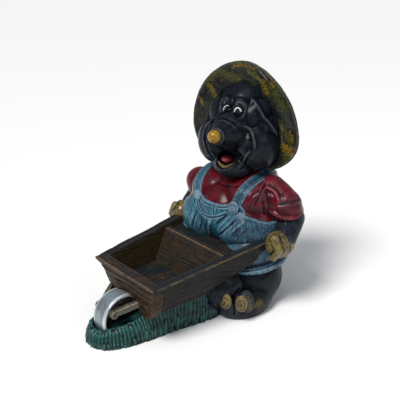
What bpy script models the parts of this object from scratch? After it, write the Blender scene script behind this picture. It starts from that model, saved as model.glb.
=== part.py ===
"""Mole garden figure pushing a wheelbarrow planter, cast and painted as one piece.

Metres, +Z up. The mole and the barrow face -Y and the mole's left side is +X.
The shapes are laid out about the barrow's middle plane. At the end the figure is
moved so that its outer box is centred on X = 0 and Y = 0 with the underside at Z = 0.
"""
import math

import bmesh
import bpy
from mathutils import Matrix, Vector
from mathutils.bvhtree import BVHTree

# Whole figure
FIGURE_HEIGHT = 0.360
WELD_DISTANCE = 0.000002

# Head, worn turned to the figure's left
HEAD_TURN = 18.0
HEAD_Y = 0.035
CHEEK_Z = 0.240
CHEEK_WIDE = 0.031
CHEEK_SIDE = 0.033
SNOUT_Z = 0.264
SNOUT_BASE = 0.034
SNOUT_TIP = 0.0150
NOSE_FRONT = 0.080
NOSE_RADIUS = 0.0095
EYE_SIDE = 0.0105
EYE_Z = 0.296

# Straw hat, worn on the back of the head
BRIM_RADIUS = 0.0860
BRIM_SAG = 0.0021
BRIM_OVAL = 0.0047
BRIM_PEAK = 0.0052
BRIM_THICK = 0.0060
BRIM_FLARE = 0.012
CROWN_DEPTH = 0.047

# Body
TORSO_TURN = 7.0
TORSO_Y = 0.030
SHOULDER_Z = 0.168
BIB_Z = 0.162
CLOTH = 0.0022
STRAP_WIDE = 0.0175
STRAP_STEPS = 12
BUTTON_RADIUS = 0.0085
BUTTON_SIDE = 0.036

# Barrow
TRAY_FRONT = -0.187
TRAY_BACK = -0.0615
RAIL_THICK = 0.0145
RIM_HALF = 0.0735
FLOOR_Z = 0.058
HANDLE_END = 0.014
DRAIN_RADIUS = 0.0022
WHEEL_RADIUS = 0.0345
WHEEL_WIDE = 0.029
WHEEL_Y = -0.1960
WHEEL_Z = 0.0310

# Grass mound
BLADES = 48
BLADE_RELIEF = 0.0016


class Place:
    """A turned spot on the ground: side runs to the figure's left, front where it faces."""

    def __init__(self, x, y, turn):
        angle = math.radians(turn)
        self.origin = Vector((x, y, 0.0))
        self.side = Vector((math.cos(angle), math.sin(angle), 0.0))
        self.front = Vector((math.sin(angle), -math.cos(angle), 0.0))
        self.spin = Matrix.Rotation(angle, 4, "Z")

    def at(self, side, front, up):
        """The world point a distance to the side, in front and up."""
        return self.origin + self.side * side + self.front * front + Vector((0.0, 0.0, up))


HEAD = Place(0.0, HEAD_Y, HEAD_TURN)
TORSO = Place(0.0, TORSO_Y, TORSO_TURN)
GROUND = Place(0.0, 0.0, 0.0)


def clear():
    """Remove every object that is already in the file."""
    for old in list(bpy.data.objects):
        bpy.data.objects.remove(old)


def paint(name, colour, roughness, metallic):
    """A plain material with the region's main colour."""
    material = bpy.data.materials.new(name)
    material.use_nodes = True
    shader = material.node_tree.nodes["Principled BSDF"]
    shader.inputs["Base Color"].default_value = (*colour, 1.0)
    shader.inputs["Roughness"].default_value = roughness
    shader.inputs["Metallic"].default_value = metallic
    return material


def to_object(mesh_data, name):
    """Put an edit mesh into a new object of the scene."""
    bmesh.ops.recalc_face_normals(mesh_data, faces=mesh_data.faces[:])
    mesh = bpy.data.meshes.new(name)
    mesh_data.to_mesh(mesh)
    mesh_data.free()
    thing = bpy.data.objects.new(name, mesh)
    bpy.context.scene.collection.objects.link(thing)
    return thing


def ball(work, place, centre, radii, lean=0.0, tip=0.0, detail=3):
    """Add an ellipsoid; lean turns it about the front axis and tip about the side axis."""
    turn = Matrix.Rotation(math.radians(lean), 4, "Y") @ Matrix.Rotation(math.radians(tip), 4, "X")
    size = Matrix.Diagonal((radii[0], radii[1], radii[2], 1.0))
    spot = Matrix.Translation(place.at(*centre)) @ place.spin @ turn @ size
    bmesh.ops.create_icosphere(work, subdivisions=detail, radius=1.0, matrix=spot)


def limb(work, place, start, start_radius, end, end_radius, detail=2):
    """Add the rounded, tapered hull that joins two balls."""
    balls = bmesh.new()
    for centre, radius in ((start, start_radius), (end, end_radius)):
        bmesh.ops.create_icosphere(
            balls,
            subdivisions=detail,
            radius=radius,
            matrix=Matrix.Translation(place.at(*centre)),
        )
    shell = bmesh.new()
    for vertex in balls.verts:
        shell.verts.new(vertex.co)
    balls.free()
    made = bmesh.ops.convex_hull(shell, input=shell.verts[:])
    loose = [g for g in made["geom_interior"] if isinstance(g, bmesh.types.BMVert)]
    bmesh.ops.delete(shell, geom=loose, context="VERTS")
    mesh = bpy.data.meshes.new("limb")
    shell.to_mesh(mesh)
    shell.free()
    work.from_mesh(mesh)
    bpy.data.meshes.remove(mesh)


def prism(name, place, outline, low, high, along="front"):
    """Extrude a closed outline of (side, up) points along the front axis."""
    work = bmesh.new()
    count = len(outline)
    rings = []
    for depth in (low, high):
        ring = []
        for first, second in outline:
            if along == "front":
                spot = place.at(first, depth, second)
            elif along == "side":
                spot = place.at(depth, first, second)
            else:
                spot = place.at(first, second, depth)
            ring.append(work.verts.new(spot))
        rings.append(ring)
    for i in range(count):
        j = (i + 1) % count
        work.faces.new((rings[0][i], rings[0][j], rings[1][j], rings[1][i]))
    work.faces.new(rings[0])
    work.faces.new(list(reversed(rings[1])))
    return to_object(work, name)


def loft(name, stations):
    """Join matching closed rings of points, one after the other, and cap both ends."""
    work = bmesh.new()
    rings = [[work.verts.new(point) for point in ring] for ring in stations]
    count = len(rings[0])
    for low, high in zip(rings, rings[1:]):
        for i in range(count):
            j = (i + 1) % count
            work.faces.new((low[i], low[j], high[j], high[i]))
    work.faces.new(list(reversed(rings[0])))
    work.faces.new(rings[-1])
    return to_object(work, name)


def use(thing, kind, **settings):
    """Add a modifier, set it up and apply it at once."""
    modifier = thing.modifiers.new(kind.title(), kind)
    for key, value in settings.items():
        setattr(modifier, key, value)
    bpy.context.view_layer.objects.active = thing
    bpy.ops.object.modifier_apply(modifier=modifier.name)


def seal(thing):
    """Weld and triangulate a skin and return the volume in it, or zero where it stays open."""
    work = bmesh.new()
    work.from_mesh(thing.data)
    bmesh.ops.triangulate(work, faces=work.faces[:])
    bmesh.ops.remove_doubles(work, verts=work.verts[:], dist=WELD_DISTANCE)
    volume = 0.0
    if all(len(edge.link_faces) == 2 for edge in work.edges):
        volume = abs(work.calc_volume(signed=True))
        work.to_mesh(thing.data)
    work.free()
    return volume


def cut(body, tool, operation="DIFFERENCE"):
    """Combine two closed solids and remove the tool.

    The exact solver is tried first. Where crossing skins defeat it, so that the result is
    open or holds more or less than the two solids allow, the manifold one takes its place.
    """
    own = seal(body)
    other = seal(tool)
    before = body.data.copy()
    least, most = {
        "UNION": (max(own, other), own + other),
        "DIFFERENCE": (own - other, own),
        "INTERSECT": (0.0, min(own, other)),
    }[operation]
    use(body, "BOOLEAN", operation=operation, object=tool, solver="EXACT")
    made = seal(body)
    if made == 0.0 or made < least * 0.99 or made > most * 1.01:
        body.data = before
        use(body, "BOOLEAN", operation=operation, object=tool, solver="MANIFOLD")
        seal(body)
    bpy.data.objects.remove(tool)


def knead(work, name, cell, passes, strength=0.5):
    """Merge overlapping lumps into one skin and soften the seams between them."""
    thing = to_object(work, name)
    use(thing, "REMESH", mode="VOXEL", voxel_size=cell)
    if passes:
        use(thing, "SMOOTH", factor=strength, iterations=passes)
    return thing


def thin(thing, faces):
    """Reduce a skin to about the given number of triangles."""
    use(thing, "TRIANGULATE")
    ratio = min(1.0, faces / len(thing.data.polygons))
    use(thing, "DECIMATE", decimate_type="COLLAPSE", ratio=ratio)


def fill_pockets(thing):
    """Keep the outer skin only, which fills the small pockets closed in between lumps."""
    work = bmesh.new()
    work.from_mesh(thing.data)
    waiting = set(work.verts)
    skins = []
    while waiting:
        edge_of_skin = [waiting.pop()]
        skin = list(edge_of_skin)
        while edge_of_skin:
            for edge in edge_of_skin.pop().link_edges:
                for vertex in edge.verts:
                    if vertex in waiting:
                        waiting.discard(vertex)
                        edge_of_skin.append(vertex)
                        skin.append(vertex)
        skins.append(skin)
    skins.sort(key=len)
    bmesh.ops.delete(work, geom=[v for skin in skins[:-1] for v in skin], context="VERTS")
    work.to_mesh(thing.data)
    work.free()


def make_head():
    """Pear-shaped head with round cheeks, cone snout and open, smiling mouth."""
    work = bmesh.new()
    ball(work, HEAD, (0.0, -0.004, 0.272), (0.045, 0.040, 0.056))
    ball(work, HEAD, (0.0, 0.022, 0.209), (0.032, 0.0335, 0.0205))
    ball(work, HEAD, (0.0, -0.005, 0.215), (0.044, 0.034, 0.030))
    for side in (-1, 1):
        ball(work, HEAD, (side * CHEEK_SIDE, 0.012, CHEEK_Z), (CHEEK_WIDE, 0.036, 0.038))
        ball(work, HEAD, (side * 0.019, 0.003, 0.266), (0.029, 0.034, 0.045), lean=side * 18)
        ball(work, HEAD, (side * EYE_SIDE, 0.027, EYE_Z), (0.0110, 0.0095, 0.0150), lean=side * 6)
        ball(work, HEAD, (side * 0.035, 0.0, 0.257), (0.026, 0.034, 0.036))
    limb(work, HEAD, (0.0, 0.022, SNOUT_Z - 0.002), SNOUT_BASE,
         (0.0, NOSE_FRONT - 0.016, SNOUT_Z), SNOUT_TIP, detail=3)
    head = knead(work, "head", 0.0016, 9)
    mouth = bmesh.new()
    ball(mouth, HEAD, (-0.002, 0.051, 0.2240), (0.0265, 0.026, 0.0165))
    ball(mouth, HEAD, (0.0, 0.054, 0.2310), (0.0290, 0.022, 0.0085))
    for side in (-1, 1):
        ball(mouth, HEAD, (side * 0.023, 0.042, 0.2335), (0.012, 0.015, 0.0055), lean=side * -20)
    cut(head, knead(mouth, "mouth_hollow", 0.0016, 4))
    thin(head, 960)
    return head


def make_face_trim():
    """Nose ball, eyes, tongue and lower lip."""
    nose = bmesh.new()
    ball(nose, HEAD, (0.0, NOSE_FRONT, SNOUT_Z + 0.001), (NOSE_RADIUS,) * 3, detail=2)
    nose = to_object(nose, "nose")
    thin(nose, 140)
    pieces = [nose]
    for side, name in ((-1, "eye_right"), (1, "eye_left")):
        eye = bmesh.new()
        ball(eye, HEAD, (side * EYE_SIDE, 0.0335, EYE_Z), (0.0075, 0.0065, 0.0110), detail=2)
        eye = to_object(eye, name)
        thin(eye, 90)
        pieces.append(eye)
    tongue = bmesh.new()
    ball(tongue, HEAD, (0.0, 0.034, 0.2200), (0.0105, 0.0145, 0.0060), tip=-12, detail=1)
    pieces.append(to_object(tongue, "tongue"))
    return pieces


def make_hat():
    """Wavy oval brim behind the face with a rounded crown at the back."""
    segments = 36
    steps = (0.30, 0.62, 0.84, 0.97)
    centre_side = 0.005
    centre_up = FIGURE_HEIGHT - BRIM_RADIUS + BRIM_SAG + BRIM_OVAL - BRIM_PEAK
    rings = []

    def ring(reach, lift):
        points = []
        for i in range(segments):
            angle = math.tau * i / segments
            wave = 0.0035 * math.sin(3 * angle + 0.9) + 0.0020 * math.sin(5 * angle + 2.1)
            flare = BRIM_FLARE * max(0.0, reach - 0.45) ** 1.6 * 2.6
            edge = BRIM_RADIUS - BRIM_SAG * math.sin(angle) - BRIM_PEAK * math.sin(3 * angle)
            edge += BRIM_OVAL * math.cos(2 * angle + 0.3)
            points.append(HEAD.at(
                centre_side + edge * reach * math.cos(angle),
                lift + flare + wave * reach ** 3 - 0.004,
                centre_up + edge * reach * math.sin(angle),
            ))
        return points

    for reach in steps:
        rings.append(ring(reach, 0.0))
    rings.append(ring(1.0, -BRIM_THICK * 0.5))
    for reach in reversed(steps):
        rings.append(ring(reach, -BRIM_THICK))
    brim = loft("brim", rings)
    crown = bmesh.new()
    ball(crown, HEAD, (0.004, -0.030, centre_up + 0.004), (0.054, CROWN_DEPTH - 0.002, 0.052))
    crown = to_object(crown, "crown")
    thin(crown, 240)
    return [brim, crown]


def torso_lumps(work, grow):
    """Chest, shoulders and belly, each lump enlarged by the thickness of the cloth."""
    lumps = [
        ((0.0, -0.010, 0.170), (0.066, 0.046, 0.040)),
        ((0.0, 0.012, 0.135), (0.055, 0.056, 0.052)),
        ((0.0, -0.012, 0.128), (0.070, 0.050, 0.062)),
    ]
    for side in (-1, 1):
        lumps.append(((side * 0.033, 0.001, 0.161), (0.047, 0.051, 0.037)))
        lumps.append(((side * 0.034, 0.008, 0.122), (0.053, 0.060, 0.046)))
    for centre, radii in lumps:
        ball(work, TORSO, centre, [radius + grow for radius in radii])


def make_shirt():
    """Shirt body and the two short sleeves."""
    work = bmesh.new()
    torso_lumps(work, 0.0)
    body = knead(work, "mole_figure", 0.0025, 14)
    thin(body, 340)
    sleeves = []
    for side, name in ((-1, "sleeve_right"), (1, "sleeve_left")):
        reach = 0.078 if side > 0 else 0.058
        work = bmesh.new()
        limb(work, TORSO, (side * (reach - 0.022), -0.004, SHOULDER_Z + 0.003), 0.027,
             (side * (reach + 0.006), -0.004, SHOULDER_Z - 0.012), 0.0265)
        ball(work, TORSO, (side * (reach + 0.008), -0.003, 0.1545), (0.0285, 0.029, 0.0085),
             lean=side * 18, tip=6)
        sleeve = knead(work, name, 0.0020, 3)
        thin(sleeve, 200)
        sleeves.append(sleeve)
    return body, sleeves


def make_straps(core):
    """Two flat straps laid on the body, from the bib over the shoulders to the back."""
    pieces = []
    for side, name in ((-1, "strap_right"), (1, "strap_left")):
        rings = []
        for i in range(STRAP_STEPS + 1):
            turn = math.pi * (0.06 + 0.86 * i / STRAP_STEPS)
            reach = BUTTON_SIDE + 0.012 * math.sin(turn) - 0.018 * max(0.0, -math.cos(turn))
            middle = TORSO.at(side * reach, 0.0, 0.150)
            aim = TORSO.front * math.cos(turn) + Vector((0.0, 0.0, 0.9 * math.sin(turn)))
            spot, normal = core.ray_cast(middle + aim * 0.2, -aim)[:2]
            across = TORSO.side - normal * TORSO.side.dot(normal)
            across = across.normalized() * STRAP_WIDE / 2
            top = normal * CLOTH * 0.8
            root = normal * -0.004
            rings.append([spot - across + root, spot + across + root,
                          spot + across + top, spot - across + top])
        pieces.append(loft(name, rings))
    return pieces


def make_dungarees():
    """Bib, straps and trouser legs, each standing a little proud of the shirt."""
    half = BUTTON_SIDE + BUTTON_RADIUS + 0.002
    bib = [
        (-0.11, 0.050), (0.11, 0.050), (0.11, 0.128), (0.075, 0.134), (0.056, 0.145),
        (half, BIB_Z), (half - 0.008, BIB_Z + 0.002), (0.020, BIB_Z - 0.003),
        (-0.020, BIB_Z - 0.003), (-half + 0.008, BIB_Z + 0.002), (-half, BIB_Z),
        (-0.056, 0.145), (-0.075, 0.134), (-0.11, 0.128),
    ]
    work = bmesh.new()
    torso_lumps(work, CLOTH)
    cloth = knead(work, "dungarees", 0.0025, 14)
    cloth_core = BVHTree.FromObject(cloth, bpy.context.evaluated_depsgraph_get())
    cut(cloth, prism("bib_outline", TORSO, bib, -0.12, 0.12), "INTERSECT")
    thin(cloth, 450)
    pieces = [cloth] + make_straps(cloth_core)
    legs = bmesh.new()
    for side in (-1, 1):
        ball(legs, GROUND, (side * 0.052, -0.018, 0.092), (0.043, 0.052, 0.036), tip=8)
        ball(legs, GROUND, (side * 0.054, -0.016, 0.0720), (0.0460, 0.0520, 0.0125), tip=8)
    ball(legs, GROUND, (0.0, -0.040, 0.080), (0.060, 0.048, 0.052))
    ball(legs, GROUND, (0.0, -0.030, 0.108), (0.068, 0.054, 0.040))
    legs = knead(legs, "trousers", 0.0022, 4)
    thin(legs, 340)
    pieces.append(legs)
    return pieces


def make_buttons():
    """Two domed buttons on the upper corners of the bib."""
    pieces = []
    for side, name in ((-1, "button_right"), (1, "button_left")):
        work = bmesh.new()
        front = TORSO.at(side * BUTTON_SIDE, 0.0550, BIB_Z - 0.004)
        turn = TORSO.spin @ Matrix.Rotation(math.radians(side * 16), 4, "Z")
        turn = turn @ Matrix.Rotation(math.radians(90 + 8), 4, "X")
        bmesh.ops.create_cone(
            work, cap_ends=True, segments=16, radius1=BUTTON_RADIUS,
            radius2=BUTTON_RADIUS * 0.86, depth=0.0062, matrix=Matrix.Translation(front) @ turn,
        )
        pieces.append(to_object(work, name))
    return pieces


def make_arms():
    """Upper arms, forearms and the fists closed over the barrow handles."""
    pieces = []
    for side, name in ((-1, "arm_right"), (1, "arm_left")):
        back = 0.0 if side > 0 else -0.028
        inward = 0.0 if side > 0 else 0.011
        arm = bmesh.new()
        elbow = (side * (0.091 - inward), -0.049 - back, 0.138)
        limb(arm, GROUND, (side * (0.086 - inward), -0.042 - back, 0.160), 0.022, elbow, 0.0215)
        limb(arm, GROUND, elbow, 0.0215,
             (side * (0.101 - inward * 1.1), -0.030 - back, 0.114), 0.0165)
        arm = knead(arm, name, 0.0022, 3)
        thin(arm, 170)
        pieces.append(arm)
        hand = bmesh.new()
        grip_x, grip_y = 0.100 - inward * 1.1, -0.016 - back
        ball(hand, GROUND, (side * grip_x, grip_y, 0.109), (0.0185, 0.0200, 0.0195))
        for i in range(3):
            y = grip_y + 0.012 - 0.0115 * i
            knuckle = (side * (grip_x + 0.0130), y, 0.1060)
            limb(hand, GROUND, (side * (grip_x + 0.005), y, 0.1210), 0.0070, knuckle, 0.0068)
            limb(hand, GROUND, knuckle, 0.0068, (side * (grip_x + 0.003), y, 0.0920), 0.0060)
        hand = knead(hand, name.replace("arm", "hand"), 0.0016, 1)
        thin(hand, 210)
        pieces.append(hand)
    return pieces


def make_legs():
    """Thick black legs and feet with raised toes and oval claws."""
    pieces = []
    for side, name in ((-1, "leg_right"), (1, "leg_left")):
        leg = bmesh.new()
        ball(leg, GROUND, (side * 0.053, -0.010, 0.040), (0.041, 0.050, 0.044))
        ball(leg, GROUND, (side * 0.063, 0.017, 0.018), (0.037, 0.050, 0.032))
        ball(leg, GROUND, (side * 0.049, 0.046, 0.042), (0.031, 0.037, 0.034))
        for x, y, up in ((0.050, 0.066, 0.026), (0.069, 0.050, 0.029), (0.088, 0.036, 0.027)):
            ball(leg, GROUND, (side * x, y, up), (0.0125, 0.0140, 0.0190))
        leg = knead(leg, name, 0.0022, 4)
        thin(leg, 340)
        pieces.append(leg)
        for i, (x, y, up, wide, turn) in enumerate((
            (0.0740, 0.0620, 0.0325, 0.0090, 22), (0.0930, 0.0490, 0.0315, 0.0085, 42),
        )):
            claw = bmesh.new()
            spot = Place(side * x, -y, side * turn)
            ball(claw, spot, (0.0, 0.0, up), (wide, 0.0050, 0.0125), detail=2)
            claw = to_object(claw, f"claw_{name[4:]}_{i + 1}")
            thin(claw, 70)
            pieces.append(claw)
    return pieces


def rail_ring(side, y, outer_top, outer_low, top, low, thick):
    """Cross-section of a side board at one station along the barrow."""
    return [
        Vector((side * outer_low, y, low)),
        Vector((side * outer_top, y, top - 0.002)),
        Vector((side * (outer_top - 0.0025), y, top)),
        Vector((side * (outer_top - thick + 0.002), y, top)),
        Vector((side * (outer_top - thick), y, top - 0.002)),
        Vector((side * (outer_low - thick), y, low)),
    ]


def block(name, outline, low, spread):
    """Solid between the side boards: (y, z) outline, half width low + spread * height."""
    rings = []
    for side in (-1, 1):
        rings.append([Vector((side * (low + spread * z), y, z)) for y, z in outline])
    return loft(name, rings)


def make_barrow():
    """Hollow planter tray, front board, sloped back board, deck and handles."""
    pieces = []
    for side, name in ((-1, "rail_right"), (1, "rail_left")):
        end = HANDLE_END if side > 0 else HANDLE_END - 0.012
        nose_low = (0.0655, 0.0560) if side > 0 else (0.0480, 0.0565)
        stations = (
            (TRAY_FRONT + 0.006, 0.0000, nose_low[0], 0.0915, nose_low[1]),
            (-0.145, 0.0040, 0.0680, 0.0965, 0.0570),
            (-0.085, 0.0090, 0.0720, 0.1030, 0.0600),
            (-0.045, 0.0135, 0.0790, 0.1080, 0.0730),
            (-0.015, 0.0175, 0.0860, 0.1120, 0.0860),
            (end, 0.0200, 0.0915, 0.1155, 0.0980),
        )
        pieces.append(loft(name, [
            rail_ring(side, y, RIM_HALF + flare, low_x, top, low, RAIL_THICK)
            for y, flare, low_x, top, low in stations
        ]))
    face = [
        (-RIM_HALF, 0.0895), (-RIM_HALF + 0.004, 0.0925), (RIM_HALF - 0.003, 0.0925),
        (RIM_HALF, 0.0900), (0.0690, 0.0580), (0.0640, 0.0480), (0.0560, 0.0440),
        (0.0420, 0.0440), (0.0370, 0.0540), (0.0310, 0.0640), (0.0100, 0.0655),
        (0.0040, 0.0610), (-0.0160, 0.0600), (-0.0250, 0.0610), (-0.0325, 0.0660),
        (-0.0385, 0.0750), (-0.0500, 0.0810), (-0.0620, 0.0855),
    ]
    front = -TRAY_FRONT
    pieces.append(prism("front_board", GROUND, face, front - 0.0155, front + 0.0015))
    knot = bmesh.new()
    ball(knot, GROUND, (-0.0100, front - 0.002, 0.0690), (0.0135, 0.0075, 0.0085), lean=12,
         detail=2)
    pieces.append(to_object(knot, "front_knot"))
    floor = [(0.0580, front - 0.004), (0.0610, 0.080),
             (-0.0610, 0.080), (-0.0580, front - 0.030),
             (-0.040, front - 0.004)]
    pieces.append(prism("tray_floor", GROUND, floor, 0.046, FLOOR_Z, along="up"))
    lean = [(TRAY_BACK - 0.034, 0.048), (TRAY_BACK - 0.031, FLOOR_Z),
            (TRAY_BACK - 0.001, 0.1000), (TRAY_BACK + 0.001, 0.1015),
            (TRAY_BACK + 0.009, 0.1015), (TRAY_BACK + 0.012, 0.0990), (-0.040, 0.060)]
    pieces.append(block("back_board", lean, 0.0500, 0.24))
    deck = [(-0.0560, 0.062), (-0.0560, 0.0975), (0.030, 0.0990), (0.030, 0.062)]
    pieces.append(block("deck", deck, 0.0480, 0.26))
    return pieces


def make_wheel():
    """Tyre with dished sides and the two fork arms that run back to the tray."""
    profile = [
        (0.0, 0.0085), (0.0105, 0.0085), (0.0120, 0.0070), (0.0280, 0.0085), (0.0300, 0.0135),
        (0.0340, WHEEL_WIDE / 2), (WHEEL_RADIUS, 0.0110), (WHEEL_RADIUS + 0.0006, 0.0),
    ]
    half = [(radius, -depth) for radius, depth in profile] + [
        (radius, depth) for radius, depth in reversed(profile[:-1])
    ]
    segments = 26
    work = bmesh.new()
    rings = []
    for radius, depth in half:
        ring = []
        if radius == 0.0:
            ring = [work.verts.new((depth, WHEEL_Y, WHEEL_Z))]
        else:
            for i in range(segments):
                angle = math.tau * i / segments
                ring.append(work.verts.new((
                    depth,
                    WHEEL_Y + radius * math.cos(angle),
                    WHEEL_Z + radius * math.sin(angle),
                )))
        rings.append(ring)
    for low, high in zip(rings, rings[1:]):
        for i in range(segments):
            j = (i + 1) % segments
            if len(low) == 1:
                work.faces.new((low[0], high[j], high[i]))
            elif len(high) == 1:
                work.faces.new((low[i], low[j], high[0]))
            else:
                work.faces.new((low[i], low[j], high[j], high[i]))
    pieces = [to_object(work, "wheel")]
    for side, name in ((-1, "fork_right"), (1, "fork_left")):
        arm = bmesh.new()
        for x, y, up in ((0.0165, -0.2170, 0.0450), (0.0370, -0.1800, 0.0600)):
            for dx in (-0.0035, 0.0035):
                for dz in (-0.0045, 0.0045):
                    arm.verts.new((side * (x + dx), y, up + dz))
        bmesh.ops.convex_hull(arm, input=arm.verts[:])
        pieces.append(to_object(arm, name))
        hub = bmesh.new()
        bmesh.ops.create_cone(
            hub, cap_ends=True, segments=14, radius1=0.0060, radius2=0.0060, depth=0.018,
            matrix=Matrix.Translation((side * 0.0125, -0.2160, 0.0445))
            @ Matrix.Rotation(math.pi / 2, 4, "Y"),
        )
        pieces.append(to_object(hub, name.replace("fork", "hub")))
    return pieces


def edge_of_grass(share):
    """Point on the ground outline of the mound, share of the way round from the tip."""
    half = [(0.0, -0.2455), (0.0225, -0.2380), (0.0365, -0.2130), (0.0430, -0.1800),
            (0.0480, -0.1300), (0.0560, -0.0800), (0.0540, -0.0400), (0.0500, 0.0200),
            (0.0360, 0.0650), (0.0, 0.0800)]
    outline = half + [(-x, y) for x, y in reversed(half[1:-1])]
    count = len(outline)
    spot = share * count
    index = int(spot) % count
    part = spot - int(spot)
    p0, p1, p2, p3 = (outline[(index + k) % count] for k in (-1, 0, 1, 2))
    mixed = []
    for a, b, c, d in zip(p0, p1, p2, p3):
        mixed.append(0.5 * (2 * b + (c - a) * part + (2 * a - 5 * b + 4 * c - d) * part ** 2
                            + (3 * b - a - 3 * c + d) * part ** 3))
    return mixed


def grass_top(y):
    """Height of the mound at a distance along the barrow."""
    knots = [(-0.250, 0.020), (-0.232, 0.027), (-0.205, 0.030), (-0.170, 0.040),
             (-0.150, FLOOR_Z - 0.0060), (-0.092, FLOOR_Z - 0.0040), (-0.050, 0.062),
             (-0.020, 0.060), (0.080, 0.030)]
    if y <= knots[0][0]:
        return knots[0][1]
    for (y0, z0), (y1, z1) in zip(knots, knots[1:]):
        if y <= y1:
            return z0 + (z1 - z0) * (y - y0) / (y1 - y0)
    return knots[-1][1]


def make_grass():
    """Mound with upright blades all round and a flat underside."""
    levels = ((-0.15, 0.000), (0.25, -0.0015), (0.80, 0.0035), (1.0, 0.0110))
    count = BLADES * 2
    rings = [[] for _ in range(len(levels) + 1)]
    for i in range(count):
        x, y = edge_of_grass(i / count)
        ahead = edge_of_grass((i + 0.5) / count)
        behind = edge_of_grass((i - 0.5) / count)
        along = Vector((ahead[0] - behind[0], ahead[1] - behind[1], 0.0)).normalized()
        outward = Vector((along.y, -along.x, 0.0))
        top = grass_top(y)
        for k, (rise, inset) in enumerate(levels):
            wave = BLADE_RELIEF * (1 if i % 2 else -1) * (0.45 if k == 0 else 1.0)
            up = rise * top + (0.0012 if i % 2 and k else 0.0)
            point = Vector((x, y, up)) + outward * (wave - inset)
            rings[k].append(point)
        middle = Vector((0.0, max(-0.225, min(0.055, y)), top + 0.003))
        rings[-1].append(Vector((x, y, top)).lerp(middle, 0.80))
    work = bmesh.new()
    loops = [[work.verts.new(point) for point in ring] for ring in rings]
    for low, high in zip(loops, loops[1:]):
        for i in range(count):
            j = (i + 1) % count
            work.faces.new((low[i], low[j], high[j], high[i]))
    work.faces.new(list(reversed(loops[0])))
    work.faces.new(loops[-1])
    bmesh.ops.triangulate(work, faces=[f for f in work.faces if len(f.verts) > 4])
    return to_object(work, "grass")


def main():
    """Build every region and join them into the one cast piece."""
    clear()
    body, sleeves = make_shirt()
    pieces = [make_head()] + make_face_trim() + make_hat() + sleeves + make_dungarees()
    pieces += make_buttons() + make_arms() + make_legs() + make_barrow() + make_wheel()
    pieces.append(make_grass())
    for piece in pieces:
        cut(body, piece, "UNION")
    drain = bmesh.new()
    bmesh.ops.create_cone(
        drain, cap_ends=True, segments=10, radius1=DRAIN_RADIUS, radius2=DRAIN_RADIUS,
        depth=0.012, matrix=Matrix.Translation((-0.006, -0.118, FLOOR_Z)),
    )
    cut(body, to_object(drain, "drain_hollow"))
    below = prism("below_ground", GROUND, [(-0.3, -0.3), (0.3, -0.3), (0.3, 0.3), (-0.3, 0.3)],
                  -0.1, 0.0, along="up")
    cut(body, below)
    low = Vector([min(v.co[k] for v in body.data.vertices) for k in range(3)])
    high = Vector([max(v.co[k] for v in body.data.vertices) for k in range(3)])
    middle = (low + high) / 2
    for vertex in body.data.vertices:
        vertex.co -= Vector((middle.x, middle.y, low.z))
    fill_pockets(body)
    body.data.materials.clear()
    body.data.materials.append(paint("painted_resin", (0.12, 0.13, 0.15), 0.35, 0.0))
    bpy.context.view_layer.objects.active = body
    body.select_set(True)
    bpy.ops.object.shade_smooth()
    body.data.set_sharp_from_angle(angle=math.radians(35))


main()
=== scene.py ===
"""Dressed model of the mole garden figure with its wheelbarrow planter.

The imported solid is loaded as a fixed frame. Each painted region of the casting is modelled
again here at full detail, laid over the solid in the same metres, and painted.
"""
import logging
import math
from collections.abc import Sequence
from dataclasses import dataclass
from enum import Enum

import bmesh
import bpy
import numpy as np
from mathutils import Euler, Matrix, Vector
from mathutils.bvhtree import BVHTree


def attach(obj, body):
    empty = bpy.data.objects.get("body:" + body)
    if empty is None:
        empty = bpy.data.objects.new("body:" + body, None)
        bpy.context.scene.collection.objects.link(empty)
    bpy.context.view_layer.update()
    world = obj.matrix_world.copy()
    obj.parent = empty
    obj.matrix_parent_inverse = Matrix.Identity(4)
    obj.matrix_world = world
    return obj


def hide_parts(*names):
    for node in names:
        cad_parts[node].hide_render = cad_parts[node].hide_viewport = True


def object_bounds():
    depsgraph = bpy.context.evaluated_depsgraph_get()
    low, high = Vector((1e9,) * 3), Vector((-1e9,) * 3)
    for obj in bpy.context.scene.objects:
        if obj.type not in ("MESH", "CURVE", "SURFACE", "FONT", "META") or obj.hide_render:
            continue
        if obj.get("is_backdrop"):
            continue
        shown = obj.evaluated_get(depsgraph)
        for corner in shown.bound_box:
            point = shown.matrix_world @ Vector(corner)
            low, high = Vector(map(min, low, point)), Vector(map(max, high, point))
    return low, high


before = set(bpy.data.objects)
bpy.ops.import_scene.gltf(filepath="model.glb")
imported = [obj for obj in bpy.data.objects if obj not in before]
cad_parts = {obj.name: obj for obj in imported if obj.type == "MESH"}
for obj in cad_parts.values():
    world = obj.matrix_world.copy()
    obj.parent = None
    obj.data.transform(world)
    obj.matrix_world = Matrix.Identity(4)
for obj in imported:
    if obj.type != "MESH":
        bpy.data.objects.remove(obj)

LOG = logging.getLogger("mole_figure")
BODY = "root"
NODE = "mole_figure"

Colour = tuple[float, float, float]
Point = tuple[float, float, float]

# The solid is laid out about the barrow's middle plane and then centred on its outer box.
SHIFT = Vector((-0.0059278, 0.0688639, 0.0))


class Region(Enum):
    """Painted regions of the casting, named as the record's material slots."""

    FUR = "fur"
    HAT = "hat"
    SHIRT = "shirt"
    DUNGAREES = "dungarees"
    CLAWS = "claws"
    MOUTH = "mouth"
    BARROW = "barrow"
    TYRE = "tyre"
    GRASS = "grass"


# --- places and small helpers -------------------------------------------------------------


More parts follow.
